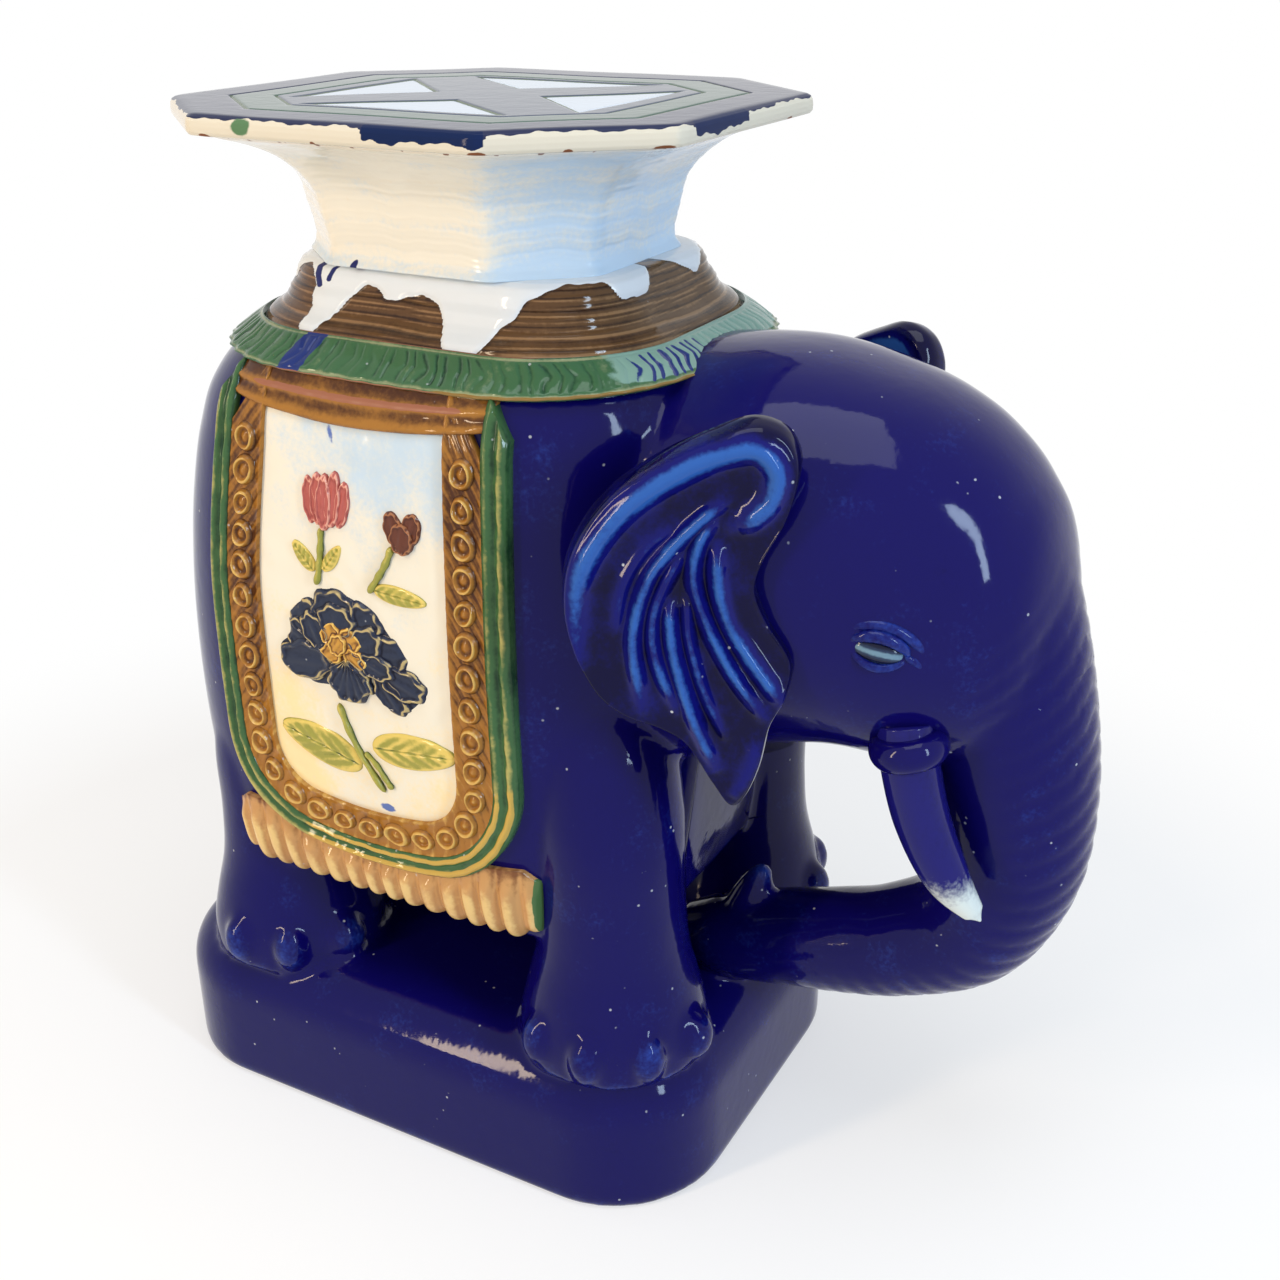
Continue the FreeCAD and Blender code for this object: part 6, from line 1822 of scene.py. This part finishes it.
def peony(hand, around=420, rings=110):
    """The open flower: overlapping ruffled petals inside a ragged outline."""
    flat = disc(PEONY_OUTLINE, (-16, 306), around, rings)
    height = rounded_edge(heights(flat, PEONY_PETALS, 0.003))
    return relief_skin("peony_bloom_" + hand, [flat], [height], hand)


def heart(hand, around=160, rings=50):
    """The flower's heart: small petals round a drop, on top of the bloom."""
    flat = disc(HEART_OUTLINE, (-17, 308), around, rings)
    height = rounded_edge(heights(flat, HEART_PETALS, 0.0052))
    return relief_skin("peony_core_" + hand, [flat], [height], hand)


peony_blue = glaze(
    "peony_blue", (0.46, 0.36, 0.17), (0.022, 0.03, 0.06), (0.005, 0.006, 0.02), mottle=0.5)
heart_gold = glaze("heart_gold", (0.74, 0.48, 0.12), (0.52, 0.27, 0.045), (0.1, 0.035, 0.012),
                   mottle=0.9)
finish_pair(peony, peony_blue, "peony_glaze", "peony")
finish_pair(heart, heart_gold, "heart_glaze", "peony_heart")

# %% [markdown]
# Tulip and bud are a few long petals, each a closed leaf of its own that lies over the
# last. The leaves are pointed ellipses with a sunk midrib, and the stems are half
# round rolls. They are pressed on separately, so they stay separate skins inside one
# mesh, and the glaze shows a dark line wherever two of them meet.
# %% Tables of the tulip, the bud, the leaves and the stems
TULIP_PETALS = (
    ((-37, 382), 102, 13, 5.0, 0.3), ((-14, 382), 76, 13, 5.0, 0.3), ((-31, 383), 97, 14, 5.5, 0.9),
    ((-20, 384), 83, 15, 5.5, 0.9), ((-26, 382), 90, 15, 5.5, 1.6),
)
BUD_PETALS = (
    ((17.5, 375), 108, 9.5, 6.0, 0.5), ((27, 376), 72, 9.5, 6.0, 0.5), ((22, 371), 90, 8.5, 7.0, 1.3),
)

# Each leaf from its stalk to its tip, then its half width and lift; each stem's line,
# then its radius
LEAVES = (
    ((-12, 240), (-65, 253), 12.0, 0.4), ((-6, 253), (47, 259), 11.0, 0.5),
    ((3, 342), (35, 340), 5.5, 0.4), ((-33, 345), (-48, 359), 5.0, 0.4),
    ((-28, 346), (-16, 361), 4.2, 0.4),
)
STEMS = (
    (((-24, 274), (-19, 260), (-11, 245), (1, 228)), 1.7),
    (((-10, 249), (-3, 243), (2, 236), (6, 231)), 1.3),
    (((-28.5, 369), (-29, 358), (-30, 348), (-32, 338)), 1.7),
    (((16, 366), (12, 357), (7, 349), (1, 340)), 1.8),
)
LOWEST_LEAF = 0.003
print("leaves:", len(LEAVES), "stems:", len(STEMS))


# %% Tulip, bud, leaves and stems
def petal_group(name, petals, hand, reach):
    """Separate petals that lie over one another."""
    flats = [petal_disc(*petal[:4]) for petal in petals]
    tops = [rounded_edge(petal_height(flat, *petal).clip(LOWEST_LEAF)) for flat, petal in zip(flats, petals)]
    return relief_skin(name, flats, tops, hand, reach)


def tulip(hand):
    """The open tulip above the peony."""
    return petal_group("tulip_bloom_" + hand, TULIP_PETALS, hand, 0.0008)


def bud(hand):
    """The closed bud beside the tulip."""
    return petal_group("bud_bloom_" + hand, BUD_PETALS, hand, 0.0006)


def stem_form(line, radius, hand, rings=50, around=20):
    """A rounded stem along a line on the panel."""
    share = np.linspace(0, 1, rings)
    path = smooth(np.linspace(0, 1, len(line)), np.array(line, float), share) / 1000
    run = np.gradient(path, axis=0)
    run /= np.linalg.norm(run, axis=1, keepdims=True)
    normal = np.stack([-run[:, 1], run[:, 0]], axis=-1)
    angles = circle(around)[None, :]
    closing = np.sqrt(np.clip(1 - np.abs(2 * share - 1) ** 16, 0.02, 1))
    wide = radius / 1000 * ((1 + 0.12 * np.sin(share * 23)) * closing)[:, None]
    flat = path[:, None] + normal[:, None] * (wide * np.cos(angles))[..., None]
    height = 0.0036 + 1.3 * wide * np.sin(angles)
    return on_side(flat, height, hand), np.clip(0.85 - 0.5 * np.sin(angles) + 0 * wide, 0, 1)


def greenery(hand):
    """Leaves and stems in one mesh."""
    forms = []
    shades = []
    for first, last, width, lift in LEAVES:
        flat = leaf_disc(first, last, width)
        top = rounded_edge(leaf_height(flat, first, last, width * 1.04, lift).clip(LOWEST_LEAF))
        forms.append(relief(flat, top, hand))
        shades.append(both_faces(by_relief(top, 0.0006, 0.32)))
    for line, radius in STEMS:
        form, shade = stem_form(line, radius, hand)
        forms.append(form)
        shades.append(shade)
    return group_skin("leaves_and_stems_" + hand, forms, {"thickness": shades})


tulip_red = glaze("tulip_red", (0.74, 0.36, 0.27), (0.42, 0.105, 0.09), (0.14, 0.018, 0.02),
                  mottle=0.9)
bud_brown = glaze("bud_brown", (0.34, 0.14, 0.06), (0.12, 0.038, 0.022), (0.04, 0.012, 0.008),
                  mottle=0.8)
leaf_green = glaze("leaf_green", (0.68, 0.52, 0.13), (0.3, 0.29, 0.055), (0.04, 0.07, 0.024),
                   mottle=1.0)
finish_pair(tulip, tulip_red, "tulip_glaze", "tulip")
finish_pair(bud, bud_brown, "bud_glaze", "flower_bud")
finish_pair(greenery, leaf_green, "leaf_glaze", "stem_and_leaves")

# %% [markdown]
# A plain studio shot on white. The floor is pale and matt and keeps the shadow close
# to the stool; farther out it blends into a flat white, so that no horizon shows.
# That white, and the white of the world, are meant for the camera and for mirrors and
# glass only, which the Light Path node can tell apart. The light that falls on the
# stool stays soft, and the glazes keep the colours written above.
# %% Floor
FLOOR_NEAR = 0.15
FLOOR_FAR = 0.75
LEAST_WHITE = 0.55


def seen_directly(tree):
    """1 for what the camera, a mirror or glass sees, 0 for light on the stool."""
    path = tree.nodes.new("ShaderNodeLightPath")
    mirrored = math_node(tree, "MAXIMUM", path.outputs["Is Glossy Ray"], path.outputs["Is Transmission Ray"])
    return math_node(tree, "MAXIMUM", path.outputs["Is Camera Ray"], mirrored)


floor_mesh = bpy.data.meshes.new("floor")
floor_mesh.from_pydata([(-6, -6, 0), (6, -6, 0), (6, 6, 0), (-6, 6, 0)], [], [(0, 1, 2, 3)])
floor = bpy.data.objects.new("floor", floor_mesh)
floor.location.z = FLOOR
bpy.context.collection.objects.link(floor)
floor_paint = bpy.data.materials.new("floor_paint")
floor_paint.use_nodes = True
paint_tree = floor_paint.node_tree
floor_shader = paint_tree.nodes["Principled BSDF"]
floor_shader.inputs["Base Color"].default_value = (0.95, 0.95, 0.95, 1.0)
floor_shader.inputs["Roughness"].default_value = 0.9
floor_shader.inputs["Specular IOR Level"].default_value = 0.1
white = paint_tree.nodes.new("ShaderNodeEmission")
white.inputs["Strength"].default_value = 1.0
away = paint_tree.nodes.new("ShaderNodeVectorMath")
away.operation = "LENGTH"
paint_tree.links.new(paint_tree.nodes.new("ShaderNodeTexCoord").outputs["Object"], away.inputs[0])
whiteness = ramp(paint_tree, away.outputs["Value"], FLOOR_NEAR, FLOOR_FAR)
whiteness = math_node(paint_tree, "MAXIMUM", whiteness, LEAST_WHITE)
whiteness = math_node(paint_tree, "MULTIPLY", whiteness, seen_directly(paint_tree))
blend = paint_tree.nodes.new("ShaderNodeMixShader")
paint_tree.links.new(whiteness, blend.inputs["Fac"])
paint_tree.links.new(floor_shader.outputs[0], blend.inputs[1])
paint_tree.links.new(white.outputs[0], blend.inputs[2])
paint_tree.links.new(blend.outputs[0], paint_tree.nodes["Material Output"].inputs["Surface"])
floor_mesh.materials.append(floor_paint)
print("floor at", FLOOR, "m, white from", FLOOR_FAR, "m out")

# %% [markdown]
# The photograph shows the neck warm on its left and cool on its right, where low sun
# and open sky met. Two tall narrow lamps repeat that: area lamps give a soft edge to
# each shadow and a clean streak in the glaze. A weak wide lamp from above keeps the
# seat's top readable.
# The cool colour of the neck's front facets is also painted into its glaze, as a painted cool reflection.
# %% Lamps and background
WORLD_LIGHT = 0.42


def lamp(name, place, size, power, tint):
    """An area lamp that faces the middle of the stool."""
    light = bpy.data.lights.new(name, "AREA")
    light.shape = "RECTANGLE"
    light.size, light.size_y = size
    light.energy = power
    light.color = tint
    item = bpy.data.objects.new(name, light)
    item.location = place
    item.rotation_euler = (Vector((0.03, 0.0, 0.28)) - Vector(place)).to_track_quat("-Z", "Y").to_euler()
    bpy.context.collection.objects.link(item)


lamp("warm_lamp", (-0.75, -1.55, 0.95), (0.16, 1.2), 19.0, (1.0, 0.78, 0.54))
lamp("cool_lamp", (1.65, -0.55, 0.95), (0.18, 1.0), 16.0, (0.62, 0.8, 1.0))
lamp("top_lamp", (0.2, -0.3, 2.1), (1.2, 1.2), 16.0, (0.92, 0.96, 1.0))

world = bpy.data.worlds.new("studio")
world.use_nodes = True
bpy.context.scene.world = world
sky = world.node_tree
background = sky.nodes["Background"]
strength = math_node(sky, "MAXIMUM", seen_directly(sky), WORLD_LIGHT)
background.inputs["Color"].default_value = (1.0, 1.0, 1.0, 1.0)
sky.links.new(strength, background.inputs["Strength"])
bpy.context.scene.view_settings.view_transform = "Standard"
print("lamps:", len(bpy.data.lights), "and a white world")
